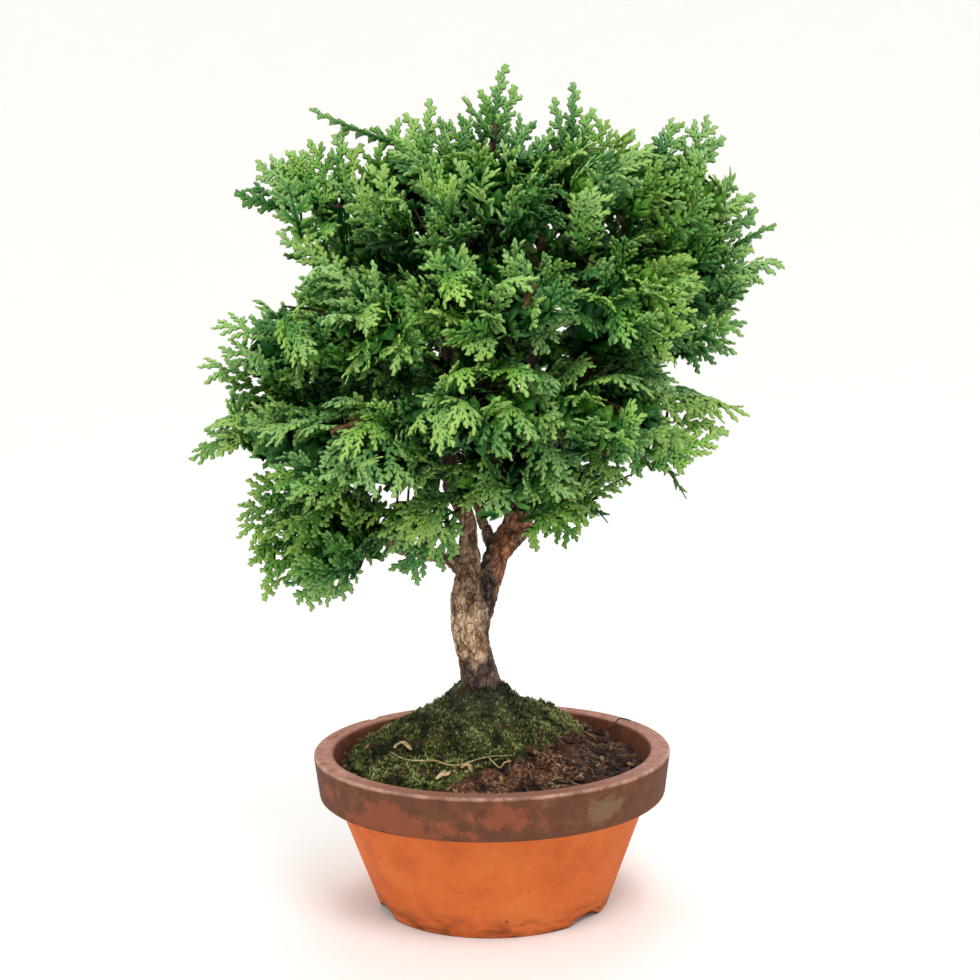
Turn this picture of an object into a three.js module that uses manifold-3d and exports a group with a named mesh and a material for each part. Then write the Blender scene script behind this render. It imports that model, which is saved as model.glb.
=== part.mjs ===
// A hinoki cypress bonsai in a round terracotta pan.
// Millimetres, +Z up. The origin is on the pot's axis, at the level that the foot stands on, and -Y is the front.
import * as THREE from "three";
import { mergeVertices } from "three/addons/utils/BufferGeometryUtils.js";
import Module from "manifold-3d";

const wasm = await Module();
wasm.setup();

// Driving dimensions.
const GAP = 0.3; // left between neighbours, so that they touch without sharing a surface

const POT = {
  height: 57.5,
  rimRadius: 65,
  lipRadius: 57.7, // inner edge of the lip
  arris: 1, // rounding of the rim's edges
  bandHeight: 15.2,
  bandRadius: 63, // lower edge of the rim band
  bodyTopRadius: 57, // body just under the band
  baseRadius: 41.8,
  wall: 5,
  footRing: 6, // width of the ring that the pot stands on
  footHeight: 3.5,
  floorTop: 10,
  floorRadius: 37.5, // inside, at the floor
  holeRadius: 8,
  sectors: 48,
};

const ARCH = { azimuths: [321.3, 201.3, 81.3], width: 19.5, height: 3.3 };

const CHIP = { azimuth: 136, width: 6, depth: 2.2, tilt: 38 };

const MESH = { side: 24, thickness: 0.8, holesPerSide: 4, holeSide: 3.6 };

// The soil: its level at the wall, the mound round the trunk, and lower humps at the back right and back left.
const SOIL = {
  level: 50.2,
  humps: [
    { rise: 26.5, reach: 31.5, x: -5, y: 0 },
    { rise: 8.5, reach: 17, x: 22, y: 32 },
    { rise: 4, reach: 18, x: -31, y: 36 },
  ],
  lump: { height: 0.5, spanX: 4.1, spanY: 3.7 },
  edgeClearance: 0.6, // from the lip, besides the gap
  sectors: 28,
  rings: [0.86, 0.66, 0.48, 0.32, 0.16], // shares of its radius
};

// The moss carpet: its reach from its centre, in even steps of azimuth from +X.
const MOSS = {
  thickness: 3,
  root: 2, // how far the uncut patch reaches into the ground
  rings: 5,
  x: -8,
  y: 4,
  reach: [35, 46, 54, 51, 48, 46, 44, 44, 45, 47, 50, 52, 41, 36, 34, 34],
};

// The wood: each limb's centre line, with the wood's radius at each point.
const LIMBS = {
  trunk: [
    [-2.5, 1.5, 50, 8.6],
    [-2.8, 0.6, 66, 8.2],
    [-2.7, 0, 79, 7.6],
    [-4.9, 0, 88.5, 6.3],
    [-7.5, 0, 100, 6.5],
    [-8.1, 0, 108.5, 7],
    [-8.4, 0, 115, 5.6],
    [-8.3, 0, 121.4, 4.3],
    [-7, 0, 128.3, 3.7],
    [-6.7, 0, 134, 3.3],
    [-7.3, 0, 141, 3.2],
    [-11, 0, 148.5, 3.2],
    [-13.7, 0, 157, 3.2],
    [-14.1, 0, 171, 3],
    [-13.4, 0, 194, 2.4],
    [-11, 0, 222, 1.9],
    [-4, 0, 250, 1.5],
    [3, 0, 272, 1.1],
  ],
  right_stem: [
    [-5, 2.5, 99, 4.2],
    [-3.1, 3.6, 107, 4.2],
    [0.1, 4.4, 118, 4.2],
    [2.2, 5, 127, 4.9],
    [5.6, 5, 134, 4.9],
    [12, 5, 137.5, 4],
    [15.4, 5, 142, 3.5],
    [17, 5, 150, 3],
    [22, 6, 166, 2.6],
    [34, 7, 190, 2.2],
    [45, 7, 218, 1.7],
    [50, 6, 246, 1.2],
  ],
  inner_stem: [
    [3.5, 5, 131, 3.4],
    [7, 4.2, 141, 3],
    [12.4, 3.2, 150, 2.7],
    [15, 1, 168, 2.4],
    [17, -2, 200, 2],
    [19, -3, 230, 1.6],
    [22, -2, 256, 1.2],
  ],
  back_stem: [
    [0.8, 5.5, 131, 2.4],
    [-1.8, 7, 139, 2.2],
    [-4.4, 11, 147, 2],
    [-4, 22, 164, 1.8],
    [-2, 30, 190, 1.6],
    [0, 32, 216, 1.3],
  ],
  low_branch: [
    [-8, -0.5, 121, 2.9],
    [-14, -3, 127.5, 2.3],
    [-24, -5, 130.2, 2],
    [-34, -6, 133, 2],
    [-42, -6, 139.5, 1.9],
    [-49, -6, 144, 1.6],
    [-58, -6, 145, 1.2],
  ],
  stub: [
    [-9, -0.5, 121, 2.4],
    [-11.4, -1.5, 127, 1.9],
    [-12.6, -1.5, 132.5, 1.1],
  ],
};
const LIMB_SIDES = { trunk: 12, right_stem: 8, inner_stem: 7, back_stem: 6, low_branch: 6, stub: 6 };

// Roots leave the trunk under the moss: azimuth, length and thickness at the trunk.
const ROOTS = [
  [195, 26, 3.4],
  [262, 22, 3],
  [325, 25, 3.2],
  [28, 21, 2.8],
  [108, 24, 3],
];
const ROOT = { startX: -2.8, startY: 0.6, startHeight: 66, drop: 20, dip: 1.6, tipRadius: 1.2, sides: 5 };

// Where a branch leaves the stems: above the lowest level, and far enough below its pad, if it can.
const BRANCHING = { stems: ["trunk", "right_stem", "inner_stem", "back_stem", "low_branch"], lowest: 137,
  above: 4, slope: 0.2, points: 40, tooSteep: 40, tooLow: 1000 };
const TWIG = { radius: 1.5, tipRadius: 0.8, rise: 0.12, reachIn: 0.1, sides: 5, steps: 3 };

// Foliage pads: centre, then length along its branch, width, thickness, and how far its tip hangs, in degrees.
const PADS = {
  lower_left: [-61, -6, 137, 52, 60, 46, 36],
  lower_centre_left: [-27, -24, 141, 38, 44, 26, 26],
  lower_front: [7, -36, 162, 44, 60, 30, 20],
  lower_right: [33, -7, 148, 36, 44, 30, 16],
  lower_back_left: [-36, 42, 164, 50, 58, 34, 18],
  lower_back_right: [28, 44, 166, 50, 58, 32, 16],
  left_tip: [-78, -10, 175, 48, 54, 34, 8],
  left_front: [-50, -44, 174, 52, 60, 38, 18],
  centre_front: [-4, -60, 187, 54, 64, 34, 16],
  right_front: [42, -44, 185, 52, 60, 32, 12],
  right_spray: [63, -6, 180, 54, 54, 24, 2],
  right_back: [54, 42, 198, 50, 60, 36, 12],
  back_middle: [6, 61, 199, 52, 66, 40, 16],
  left_back: [-52, 46, 197, 54, 60, 38, 12],
  left_upper: [-66, -6, 203, 52, 58, 34, 6],
  front_upper_left: [-42, -46, 214, 54, 62, 40, 14],
  front_upper: [6, -56, 222, 52, 62, 40, 12],
  front_upper_right: [52, -42, 220, 54, 60, 40, 10],
  right_middle: [76, -2, 226, 48, 60, 40, 2],
  back_upper_right: [52, 42, 232, 54, 62, 38, 6],
  back_upper: [2, 56, 234, 52, 64, 40, 8],
  back_upper_left: [-48, 44, 230, 54, 60, 38, 8],
  top_left_fan: [-61, 0, 252, 46, 56, 30, -12],
  top_left: [-29, -16, 258, 44, 54, 40, -10],
  top_front: [8, -34, 256, 48, 56, 36, -6],
  top_right_front: [44, -24, 258, 48, 54, 36, -8],
  top_right: [70, 4, 256, 40, 60, 40, -14],
  top_back: [-14, 32, 262, 50, 62, 34, -8],
  top_back_right: [36, 32, 262, 48, 58, 34, -8],
  leader: [5, 0, 283, 34, 22, 20, -84],
  second_leader: [30, -2, 278, 32, 24, 20, -80],
};
const PAD = { sectors: 15, bands: 6, lobes: 5, lobeDepth: 0.12, hang: 0.18, axisX: -3, axisY: 2 };

const PARTING_BLOCK = 400; // side of the block that cuts one pad clear of its neighbour

// Loose debris on the surface.
const DRY_LEAF = { x: -31, y: -17, length: 7, width: 1.7, thickness: 0.6, turn: -25, slope: 0.32 };
const DRY_STEM = {
  radius: 0.35,
  lift: 1.15, // of its underside over the ground, at each point
  line: [
    [-36, -17.5],
    [-33, -22.5],
    [-27.5, -28],
    [-21, -31],
    [-15.5, -34],
    [-10, -35],
    [-5, -33],
    [1, -30.7],
    [7, -28.5],
  ],
};

// A dead twig that leans out over the lip: where its foot rests, then the rest of its line.
const RIM_TWIG = {
  radius: 0.45,
  foot: [42.8, 28.6],
  line: [[46, 31, 56.4], [48.8, 33, 58.9], [51.6, 34.4, 59.8], [54, 34.3, 58.9]],
};

// Solids and meshes.
function withoutSeams(geometry) {
  const bare = geometry.clone();
  bare.deleteAttribute("normal");
  bare.deleteAttribute("uv");
  return mergeVertices(bare, 1e-3);
}

function toSolid(geometry) {
  const merged = withoutSeams(geometry);
  return new wasm.Manifold(
    new wasm.Mesh({
      numProp: 3,
      vertProperties: new Float32Array(merged.attributes.position.array),
      triVerts: new Uint32Array(merged.index.array),
    }),
  );
}

function toGeometry(solid) {
  const { vertProperties, triVerts } = solid.getMesh();
  const geometry = new THREE.BufferGeometry();
  geometry.setAttribute("position", new THREE.BufferAttribute(vertProperties, 3));
  geometry.setIndex(new THREE.BufferAttribute(triVerts, 1));
  geometry.computeVertexNormals();
  return geometry;
}

function joined(solids) {
  return solids.reduce((whole, solid) => whole.add(solid));
}

function named(name, solid, material) {
  const mesh = new THREE.Mesh(toGeometry(solid), material);
  mesh.name = name;
  return mesh;
}

function moveVertices(geometry, move) {
  const positions = geometry.attributes.position;
  const point = new THREE.Vector3();
  for (let i = 0; i < positions.count; i += 1) {
    point.fromBufferAttribute(positions, i);
    move(point);
    positions.setXYZ(i, point.x, point.y, point.z);
  }
  return geometry;
}

function turned(profile, sectors) {
  const points = profile.map(([radius, height]) => new THREE.Vector2(radius, height));
  return new THREE.LatheGeometry(points, sectors).rotateX(Math.PI / 2);
}

// A round limb along a smooth line, closed at both ends. radiusAt gives its radius from 0 at the start to 1 at the end.
function limb(line, radiusAt, sides, steps) {
  const curve = new THREE.CatmullRomCurve3(line);
  const frames = curve.computeFrenetFrames(steps, false);
  const geometry = withoutSeams(new THREE.CylinderGeometry(1, 1, 1, sides, steps));
  return moveVertices(geometry, (point) => {
    const along = point.y + 0.5;
    const step = Math.round(along * steps);
    const radius = radiusAt(along);
    const across = frames.normals[step].clone().multiplyScalar(-point.x * radius);
    const up = frames.binormals[step].clone().multiplyScalar(point.z * radius);
    point.copy(curve.getPointAt(along)).add(across).add(up);
  });
}

const toRadians = THREE.MathUtils.degToRad;

// The pot.
function potProfile() {
  const { height, arris, wall } = POT;
  const bandFoot = height - POT.bandHeight;
  const innerFoot = POT.baseRadius - POT.footRing;
  const underBand = POT.bodyTopRadius - wall;
  return [
    [POT.holeRadius, POT.footHeight],
    [innerFoot, POT.footHeight],
    [innerFoot, 0],
    [POT.baseRadius - arris / 2, 0],
    [POT.baseRadius, arris],
    [POT.bodyTopRadius, bandFoot - arris],
    [POT.bandRadius - arris, bandFoot - arris],
    [POT.bandRadius, bandFoot + arris / 2],
    [POT.rimRadius, height - arris],
    [POT.rimRadius - arris, height],
    [POT.lipRadius + arris / 2, height],
    [POT.lipRadius, height - arris],
    [POT.lipRadius - arris, height - POT.bandHeight / 2],
    [underBand, bandFoot],
    [POT.floorRadius + 2, POT.floorTop + 2],
    [POT.floorRadius, POT.floorTop],
    [POT.holeRadius, POT.floorTop],
    [POT.holeRadius, POT.footHeight],
  ];
}

// A round arch through the foot ring, so that water runs out from under the pot.
function footArch(azimuth) {
  const radius = ((ARCH.width / 2) ** 2 + ARCH.height ** 2) / (2 * ARCH.height);
  const length = POT.footRing * 3;
  const arch = new THREE.CylinderGeometry(radius, radius, length, 48);
  arch.rotateZ(Math.PI / 2);
  arch.translate(POT.baseRadius - POT.footRing / 2, 0, ARCH.height - radius);
  return toSolid(arch.rotateZ(toRadians(azimuth)));
}

// A flake of clay missing from the rim's outer edge.
function rimChip() {
  const flake = new THREE.BoxGeometry(CHIP.depth * 2, CHIP.width, CHIP.depth);
  flake.rotateY(toRadians(CHIP.tilt));
  flake.translate(POT.rimRadius, 0, POT.height);
  return toSolid(flake.rotateZ(toRadians(CHIP.azimuth)));
}

function pot() {
  let body = toSolid(turned(potProfile(), POT.sectors));
  for (const azimuth of ARCH.azimuths) {
    body = body.subtract(footArch(azimuth));
  }
  return body.subtract(rimChip());
}

// The plastic mesh that lies over the drain hole.
function meshPlate(grow) {
  const side = MESH.side + 2 * grow;
  const plate = new THREE.BoxGeometry(side, side, MESH.thickness + 2 * grow);
  return toSolid(plate.translate(0, 0, POT.floorTop + GAP + MESH.thickness / 2));
}

function drainageMesh() {
  const pitch = MESH.side / (MESH.holesPerSide + 0.5);
  const middle = (MESH.holesPerSide - 1) / 2;
  let plate = meshPlate(0);
  for (let column = 0; column < MESH.holesPerSide; column += 1) {
    for (let row = 0; row < MESH.holesPerSide; row += 1) {
      const hole = new THREE.BoxGeometry(MESH.holeSide, MESH.holeSide, POT.height);
      plate = plate.subtract(toSolid(hole.translate((column - middle) * pitch, (row - middle) * pitch, 0)));
    }
  }
  return plate;
}

// The soil's level at a place.
function groundAt(x, y) {
  const { height, spanX, spanY } = SOIL.lump;
  const lumps = height * Math.sin(x / spanX + 1) * Math.cos(y / spanY);
  const rises = SOIL.humps.map((hump) => {
    const away = Math.hypot(x - hump.x, y - hump.y) / hump.reach;
    return hump.rise * Math.exp(-(away ** 2));
  });
  return rises.reduce((level, rise) => level + rise, SOIL.level + lumps);
}

// The soil as one lump, before the wood and the mesh are cut from it.
function mound() {
  const edge = POT.lipRadius - POT.arris - 2 * GAP - SOIL.edgeClearance;
  const underBand = POT.bodyTopRadius - POT.wall - GAP;
  const top = SOIL.rings.map((share) => [share * edge, POT.height]);
  const profile = [
    [0, POT.floorTop + GAP],
    [POT.floorRadius - 2 * GAP, POT.floorTop + GAP],
    [POT.floorRadius + 2 - 2 * GAP, POT.floorTop + 2 + GAP],
    [underBand - GAP, POT.height - POT.bandHeight],
    [edge, POT.height],
    ...top,
    [0, POT.height],
  ];
  const body = moveVertices(turned(profile, SOIL.sectors), (point) => {
    if (point.z === POT.height) point.z = groundAt(point.x, point.y);
  });
  return toSolid(body);
}

// The moss carpet: a polar patch that follows the ground and thins out to its edge.
function mossPatch() {
  const rings = [];
  for (let ring = 0; ring <= MOSS.rings; ring += 1) {
    rings.push(ring / MOSS.rings);
  }
  const under = rings.map((share) => [share, 0]);
  const over = [...rings].reverse().map((share) => [share, 1]);
  const patch = moveVertices(turned([...under, ...over], MOSS.reach.length), (point) => {
    const share = Math.hypot(point.x, point.y);
    const turn = Math.round((Math.atan2(point.y, point.x) / (2 * Math.PI)) * MOSS.reach.length);
    const reach = MOSS.reach.at(turn);
    const x = MOSS.x + point.x * reach;
    const y = MOSS.y + point.y * reach;
    const lift = point.z < 0.5 ? -MOSS.root : MOSS.thickness * (1.1 - 0.6 * share ** 3);
    point.set(x, y, groundAt(x, y) + lift);
  });
  return toSolid(patch);
}

// The wood. grow makes it thicker all over, for cutting its neighbours clear of it.
function mainLimb(name, grow) {
  const points = LIMBS[name];
  const line = points.map(([x, y, z]) => new THREE.Vector3(x, y, z));
  const curve = new THREE.CatmullRomCurve3(line);
  const lengths = curve.getLengths(points.length - 1);
  const whole = lengths[lengths.length - 1];
  const radiusAt = (along) => {
    const after = Math.max(1, lengths.findIndex((length) => length >= along * whole - 1e-6));
    const share = (along * whole - lengths[after - 1]) / (lengths[after] - lengths[after - 1]);
    return grow + THREE.MathUtils.lerp(points[after - 1][3], points[after][3], share);
  };
  return toSolid(limb(line, radiusAt, LIMB_SIDES[name], points.length - 1));
}

function root([azimuth, length, radius], grow) {
  const out = new THREE.Vector3(Math.cos(toRadians(azimuth)), Math.sin(toRadians(azimuth)), 0);
  const start = new THREE.Vector3(ROOT.startX, ROOT.startY, ROOT.startHeight);
  const line = [0, 0.35, 0.7, 1].map((share) => {
    const level = ROOT.startHeight - ROOT.drop * share ** ROOT.dip;
    return start.clone().addScaledVector(out, length * share).setZ(level);
  });
  const radiusAt = (along) => grow + THREE.MathUtils.lerp(radius, ROOT.tipRadius, along);
  return toSolid(limb(line, radiusAt, ROOT.sides, line.length - 1));
}

// The nearest point of the stems from which a branch can rise or run level to a pad.
function branchStart(centre) {
  let best = null;
  for (const name of BRANCHING.stems) {
    const line = LIMBS[name].map(([x, y, z]) => new THREE.Vector3(x, y, z));
    for (const point of new THREE.CatmullRomCurve3(line).getSpacedPoints(BRANCHING.points)) {
      const across = Math.hypot(centre.x - point.x, centre.y - point.y);
      const highest = centre.z + BRANCHING.above - BRANCHING.slope * across;
      const steepness = point.z < highest ? 0 : BRANCHING.tooSteep;
      const lowness = point.z < BRANCHING.lowest ? BRANCHING.tooLow : 0;
      const cost = point.distanceTo(centre) + steepness + lowness;
      if (!best || cost < best.cost) best = { point, cost };
    }
  }
  return best.point;
}

function padBranch([x, y, z, length], grow) {
  const centre = new THREE.Vector3(x, y, z);
  const start = branchStart(centre);
  const end = centre.clone().lerp(start, -TWIG.reachIn * (length / centre.distanceTo(start)));
  const middle = start.clone().lerp(end, 0.5);
  middle.z += TWIG.rise * start.distanceTo(end);
  const radiusAt = (along) => grow + THREE.MathUtils.lerp(TWIG.radius, TWIG.tipRadius, along);
  return toSolid(limb([start, middle, end], radiusAt, TWIG.sides, TWIG.steps));
}

function wood(grow = 0) {
  const limbs = Object.keys(LIMBS).map((name) => mainLimb(name, grow));
  const roots = ROOTS.map((facts) => root(facts, grow));
  const branches = Object.values(PADS).map((pad) => padBranch(pad, grow));
  return joined([...limbs, ...roots, ...branches]);
}

// One foliage pad before its neighbours are cut from it: a flat cushion with a lobed edge that hangs at its tip.
function wholePad([x, y, z, length, width, thickness, hang], index) {
  const ball = new THREE.SphereGeometry(1, PAD.sectors, PAD.bands).rotateX(Math.PI / 2);
  const pad = moveVertices(ball, (point) => {
    const lobe = 1 + PAD.lobeDepth * Math.cos(PAD.lobes * Math.atan2(point.y, point.x) + index);
    const out = point.x * lobe;
    point.set((out * length) / 2, (point.y * lobe * width) / 2, (point.z * thickness) / 2);
    point.z -= PAD.hang * (thickness / 2) * out * Math.abs(out);
  });
  pad.rotateY(toRadians(hang));
  pad.rotateZ(Math.atan2(y - PAD.axisY, x - PAD.axisX));
  return toSolid(pad.translate(x, y, z));
}

// The plane between two pads that meet, from their sizes: its normal points at the first.
function partingPlane(first, second) {
  const span = [3, 4, 5].map((i) => (first[i] + second[i]) / 2);
  const across = (span[0] + span[1]) / 2;
  const normal = new THREE.Vector3(first[0] - second[0], first[1] - second[1], first[2] - second[2]);
  const middle = new THREE.Vector3(...first.slice(0, 3)).addScaledVector(normal, -0.5);
  normal.set(normal.x / across ** 2, normal.y / across ** 2, normal.z / span[2] ** 2).normalize();
  return { middle, normal };
}

// The half of space past a plane, as a large block.
function blockBehind({ middle, normal }, clearance) {
  const side = PARTING_BLOCK;
  const block = new THREE.BoxGeometry(side, side, side).translate(0, 0, -side / 2 + clearance);
  block.applyQuaternion(new THREE.Quaternion().setFromUnitVectors(new THREE.Vector3(0, 0, 1), normal));
  return toSolid(block.translate(middle.x, middle.y, middle.z));
}

function foliage(wide) {
  const rows = Object.values(PADS);
  const whole = rows.map(wholePad);
  return rows.map((row, i) => {
    let pad = whole[i];
    rows.forEach((other, j) => {
      if (i === j || whole[i].intersect(whole[j]).isEmpty()) return;
      pad = pad.subtract(blockBehind(partingPlane(row, other), GAP / 2));
    });
    return pad.subtract(wide);
  });
}

// The height of the topmost surface under a place.
function restOn(meshes, x, y) {
  const ray = new THREE.Raycaster(new THREE.Vector3(x, y, POT.height * 2), new THREE.Vector3(0, 0, -1));
  return ray.intersectObjects(meshes)[0].point.z;
}

function dryLeaf(ground) {
  const { length, width, thickness, slope } = DRY_LEAF;
  const outline = new THREE.Shape();
  outline.absarc(0, 0, length / 2, 0, Math.PI * 0.9);
  outline.absarc(0, 0, length / 2 - width, Math.PI * 0.9, 0, true);
  outline.closePath();
  const leaf = new THREE.ExtrudeGeometry(outline, { depth: thickness, bevelEnabled: false, curveSegments: 8 });
  const reach = length / 2;
  const under = [-1, 0, 1].flatMap((i) =>
    [-1, 0, 1].map((j) => restOn(ground, DRY_LEAF.x + i * reach, DRY_LEAF.y + j * reach) - i * slope * reach));
  leaf.rotateZ(toRadians(DRY_LEAF.turn));
  moveVertices(leaf, (point) => {
    point.z += slope * point.x;
  });
  return toSolid(leaf.translate(DRY_LEAF.x, DRY_LEAF.y, Math.max(...under) + GAP));
}

function rod(line, radius, sides, steps) {
  const curve = new THREE.CatmullRomCurve3(line);
  const section = new THREE.Shape();
  section.absarc(0, 0, radius, 0, Math.PI * 2);
  return toSolid(new THREE.ExtrudeGeometry(section, { extrudePath: curve, steps, curveSegments: sides / 2 }));
}

function dryStem(ground) {
  const line = DRY_STEM.line.map(([x, y]) =>
    new THREE.Vector3(x, y, restOn(ground, x, y) + DRY_STEM.radius + DRY_STEM.lift));
  return rod(line, DRY_STEM.radius, 6, 16);
}

function rimTwig(ground) {
  const [x, y] = RIM_TWIG.foot;
  const foot = new THREE.Vector3(x, y, restOn(ground, x, y) + RIM_TWIG.radius + GAP);
  const line = [foot, ...RIM_TWIG.line.map((point) => new THREE.Vector3(...point))];
  return rod(line, RIM_TWIG.radius, 6, 10);
}

// Materials, each with its surface's colour.
const paint = (color, roughness) => new THREE.MeshStandardMaterial({ color, roughness, metalness: 0 });
const terracotta = paint(0xc8693a, 0.8);
const plastic = paint(0x2b2f2c, 0.6);
const earth = paint(0x3c2a20, 1);
const green = paint(0x39501f, 1);
const bark = paint(0x7a5a42, 0.95);
const leafShades = [0x3f7a35, 0x4a8a3c, 0x356b33, 0x569443];
const straw = paint(0xb9a375, 0.9);

const bonsai = new THREE.Group();
const grownWood = wood(GAP);
const soil = mound();
const moss = mossPatch().subtract(soil.translate([0, 0, GAP])).subtract(grownWood);
const ground = [
  named("soil", soil.subtract(meshPlate(GAP)).subtract(grownWood), earth),
  named("moss_carpet", moss, green),
];
bonsai.add(named("pot", pot(), terracotta));
bonsai.add(named("drainage_mesh", drainageMesh(), plastic));
bonsai.add(...ground);
bonsai.add(named("trunk_and_branches", wood(), bark));
foliage(grownWood).forEach((pad, i) => {
  const material = paint(leafShades[i % leafShades.length], 0.7);
  bonsai.add(named(`foliage_${Object.keys(PADS)[i]}`, pad, material));
});
bonsai.add(named("dry_leaf", dryLeaf(ground), straw));
bonsai.add(named("dry_stem", dryStem(ground), straw.clone()));
bonsai.add(named("rim_twig", rimTwig(ground), bark.clone()));

export default bonsai;
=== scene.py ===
"""The looks of a hinoki cypress bonsai in a terracotta pan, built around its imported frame.

Lengths are in millimetres until a mesh becomes a Blender object, in metres.
"""
import math

import bmesh
import bpy
import numpy as np
from mathutils import Matrix, Vector, noise
from mathutils.bvhtree import BVHTree


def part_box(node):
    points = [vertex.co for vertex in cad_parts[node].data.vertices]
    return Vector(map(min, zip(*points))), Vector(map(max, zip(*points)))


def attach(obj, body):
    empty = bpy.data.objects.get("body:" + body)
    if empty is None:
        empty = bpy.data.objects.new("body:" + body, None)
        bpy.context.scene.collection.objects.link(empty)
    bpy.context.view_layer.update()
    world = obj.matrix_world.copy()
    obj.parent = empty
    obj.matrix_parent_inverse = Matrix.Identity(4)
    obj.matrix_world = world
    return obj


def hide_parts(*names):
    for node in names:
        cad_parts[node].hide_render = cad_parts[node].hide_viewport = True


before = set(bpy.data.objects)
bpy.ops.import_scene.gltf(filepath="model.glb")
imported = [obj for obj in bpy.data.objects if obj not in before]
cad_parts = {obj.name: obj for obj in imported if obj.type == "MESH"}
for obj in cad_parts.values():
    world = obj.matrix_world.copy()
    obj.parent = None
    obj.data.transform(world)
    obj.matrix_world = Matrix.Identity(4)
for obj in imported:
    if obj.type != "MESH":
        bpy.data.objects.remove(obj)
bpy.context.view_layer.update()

MM = 0.001
UP = np.array([0.0, 0.0, 1.0])
TINY = 1e-9
NOISE_STEP = (7.3, 3.1, 5.7)  # between the places that two seeds take their noise from
PIXELS = 980  # the picture's side

CAMERA = {
    "place": (0.73, -711.0, 252.6),
    "down": 8.03,  # degrees below level
    "roll": -0.85,  # degrees
    "focal_pixels": 2000.0,
    "sensor": 36.0,
}


# ---------------------------------------------------------------- general helpers


def unit(vectors):
    """Vectors scaled to length 1."""
    vectors = np.asarray(vectors, float)
    return vectors / np.maximum(np.linalg.norm(vectors, axis=-1, keepdims=True), TINY)


def smooth(low, high, value):
    """0 below low, 1 above high, and an even S between them."""
    share = np.clip((np.asarray(value, float) - low) / (high - low), 0, 1)
    return share * share * (3 - 2 * share)


def noise_at(kind, points, size, seed):
    """A kind of noise at each point, with lumps of the given size."""
    shift = Vector([seed * step for step in NOISE_STEP])
    return np.array([kind(Vector(point) / size + shift) for point in points])


def wobble(points, size, seed=0.0):
    """Smooth noise from about -1 to 1 at each point."""
    return noise_at(noise.noise, points, size, seed)


def rough(points, size, octaves=4, seed=0.0):
    """Rough noise from about -1 to 1 at each point, from lumps of the given size down to finer ones."""
    return noise_at(lambda place: noise.fractal(place, 0.9, 2.0, octaves), points, size, seed)


def linear(red, green, blue):
    """A screen colour, 0 to 255, as the linear colour that a shader takes."""
    share = np.array([red, green, blue]) / 255
    low, high = share / 12.92, ((share + 0.055) / 1.055) ** 2.4
    return (*np.where(share <= 0.04045, low, high), 1.0)


class Shape:
    """Vertices with triangles, quads and one number per vertex for each named attribute."""

    def __init__(self, *names):
        self.points, self.quads, self.triangles = [], [], []
        self.values = {name: [] for name in names}
        self.count = 0

    def add(self, points, quads=None, triangles=None, **values):
        """Adds a lump of mesh, with each attribute as a number or an array."""
        self.points.append(points)
        for faces, kept in ((quads, self.quads), (triangles, self.triangles)):
            if faces is not None and len(faces):
                kept.append(np.asarray(faces) + self.count)
        for name, kept in self.values.items():
            kept.append(np.broadcast_to(np.asarray(values.get(name, 0.0), float), len(points)))
        self.count += len(points)

    def joined(self):
        """(points, quads, triangles, values) as single arrays."""
        quads = np.concatenate(self.quads) if self.quads else np.zeros((0, 4), int)
        triangles = np.concatenate(self.triangles) if self.triangles else np.zeros((0, 3), int)
        values = {name: np.concatenate(kept) for name, kept in self.values.items()}
        return np.concatenate(self.points), quads, triangles, values

    def piece(self, name, material, slot, node):
        """The shape as a smooth Blender piece on the part's one body, which stands for a CAD node."""
        points, quads, triangles, values = self.joined()
        mesh = bpy.data.meshes.new(name)
        mesh.from_pydata(points * MM, [], [*quads.tolist(), *triangles.tolist()])
        for key, numbers in values.items():
            mesh.attributes.new(key, "FLOAT", "POINT").data.foreach_set("value", numbers.astype(np.float32))
        mesh.shade_smooth()
        mesh.materials.append(material)
        made = in_scene(name, mesh)
        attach(made, "root")
        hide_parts(node)
        return made


def in_scene(name, data):
    """A new object in the scene."""
    made = bpy.data.objects.new(name, data)
    bpy.context.scene.collection.objects.link(made)
    return made


def node_points(name):
    """A CAD node's vertices."""
    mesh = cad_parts[name].data
    points = np.zeros(len(mesh.vertices) * 3, np.float32)
    mesh.vertices.foreach_get("co", points)
    return points.reshape(-1, 3).astype(float) / MM


def node_triangles(name):
    """A CAD node's triangles, as indices of its vertices."""
    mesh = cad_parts[name].data
    mesh.calc_loop_triangles()
    return np.array([triangle.vertices[:] for triangle in mesh.loop_triangles])


def search_tree(*names, above=-1.0):
    """A tree for rays and nearest points on those faces of CAD nodes that lie above a level."""
    points, triangles, count = [], [], 0
    for name in names:
        points.append(node_points(name))
        faces = node_triangles(name)
        triangles.append(faces[points[-1][faces][:, :, 2].min(axis=1) > above] + count)
        count += len(points[-1])
    return BVHTree.FromPolygons(np.concatenate(points).tolist(), np.concatenate(triangles).tolist())


def tube(line, radii, sides=3, flat=1.0):
    """(points, quads, triangles) of a closed round tube along a line. flat squeezes it along Z."""
    line, radii = np.asarray(line, float), np.asarray(radii, float)
    ahead = unit(np.gradient(line, axis=0))
    across = unit(np.cross(ahead, UP) + (1e-6, 0, 0))  # not quite zero on an upright line
    lift = np.cross(across, ahead)
    turn = np.linspace(0, 2 * math.pi, sides, endpoint=False) + math.pi / 2
    wide, tall = np.cos(turn)[None, :, None], flat * np.sin(turn)[None, :, None]
    ring = wide * across[:, None] + tall * lift[:, None]
    points = (line[:, None] + ring * radii[:, None, None]).reshape(-1, 3)
    side, after = np.arange(sides), (np.arange(sides) + 1) % sides
    quads = [
        np.stack([low + side, low + after, low + sides + after, low + sides + side], axis=1)
        for low in range(0, sides * (len(line) - 1), sides)
    ]
    first, last = len(points), len(points) + 1
    end = sides * (len(line) - 1)
    caps = [[first, b, a] for a, b in zip(side, after)]
    caps += [[last, end + a, end + b] for a, b in zip(side, after)]
    return np.concatenate([points, line[:1], line[-1:]]), np.concatenate(quads), np.array(caps)


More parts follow.
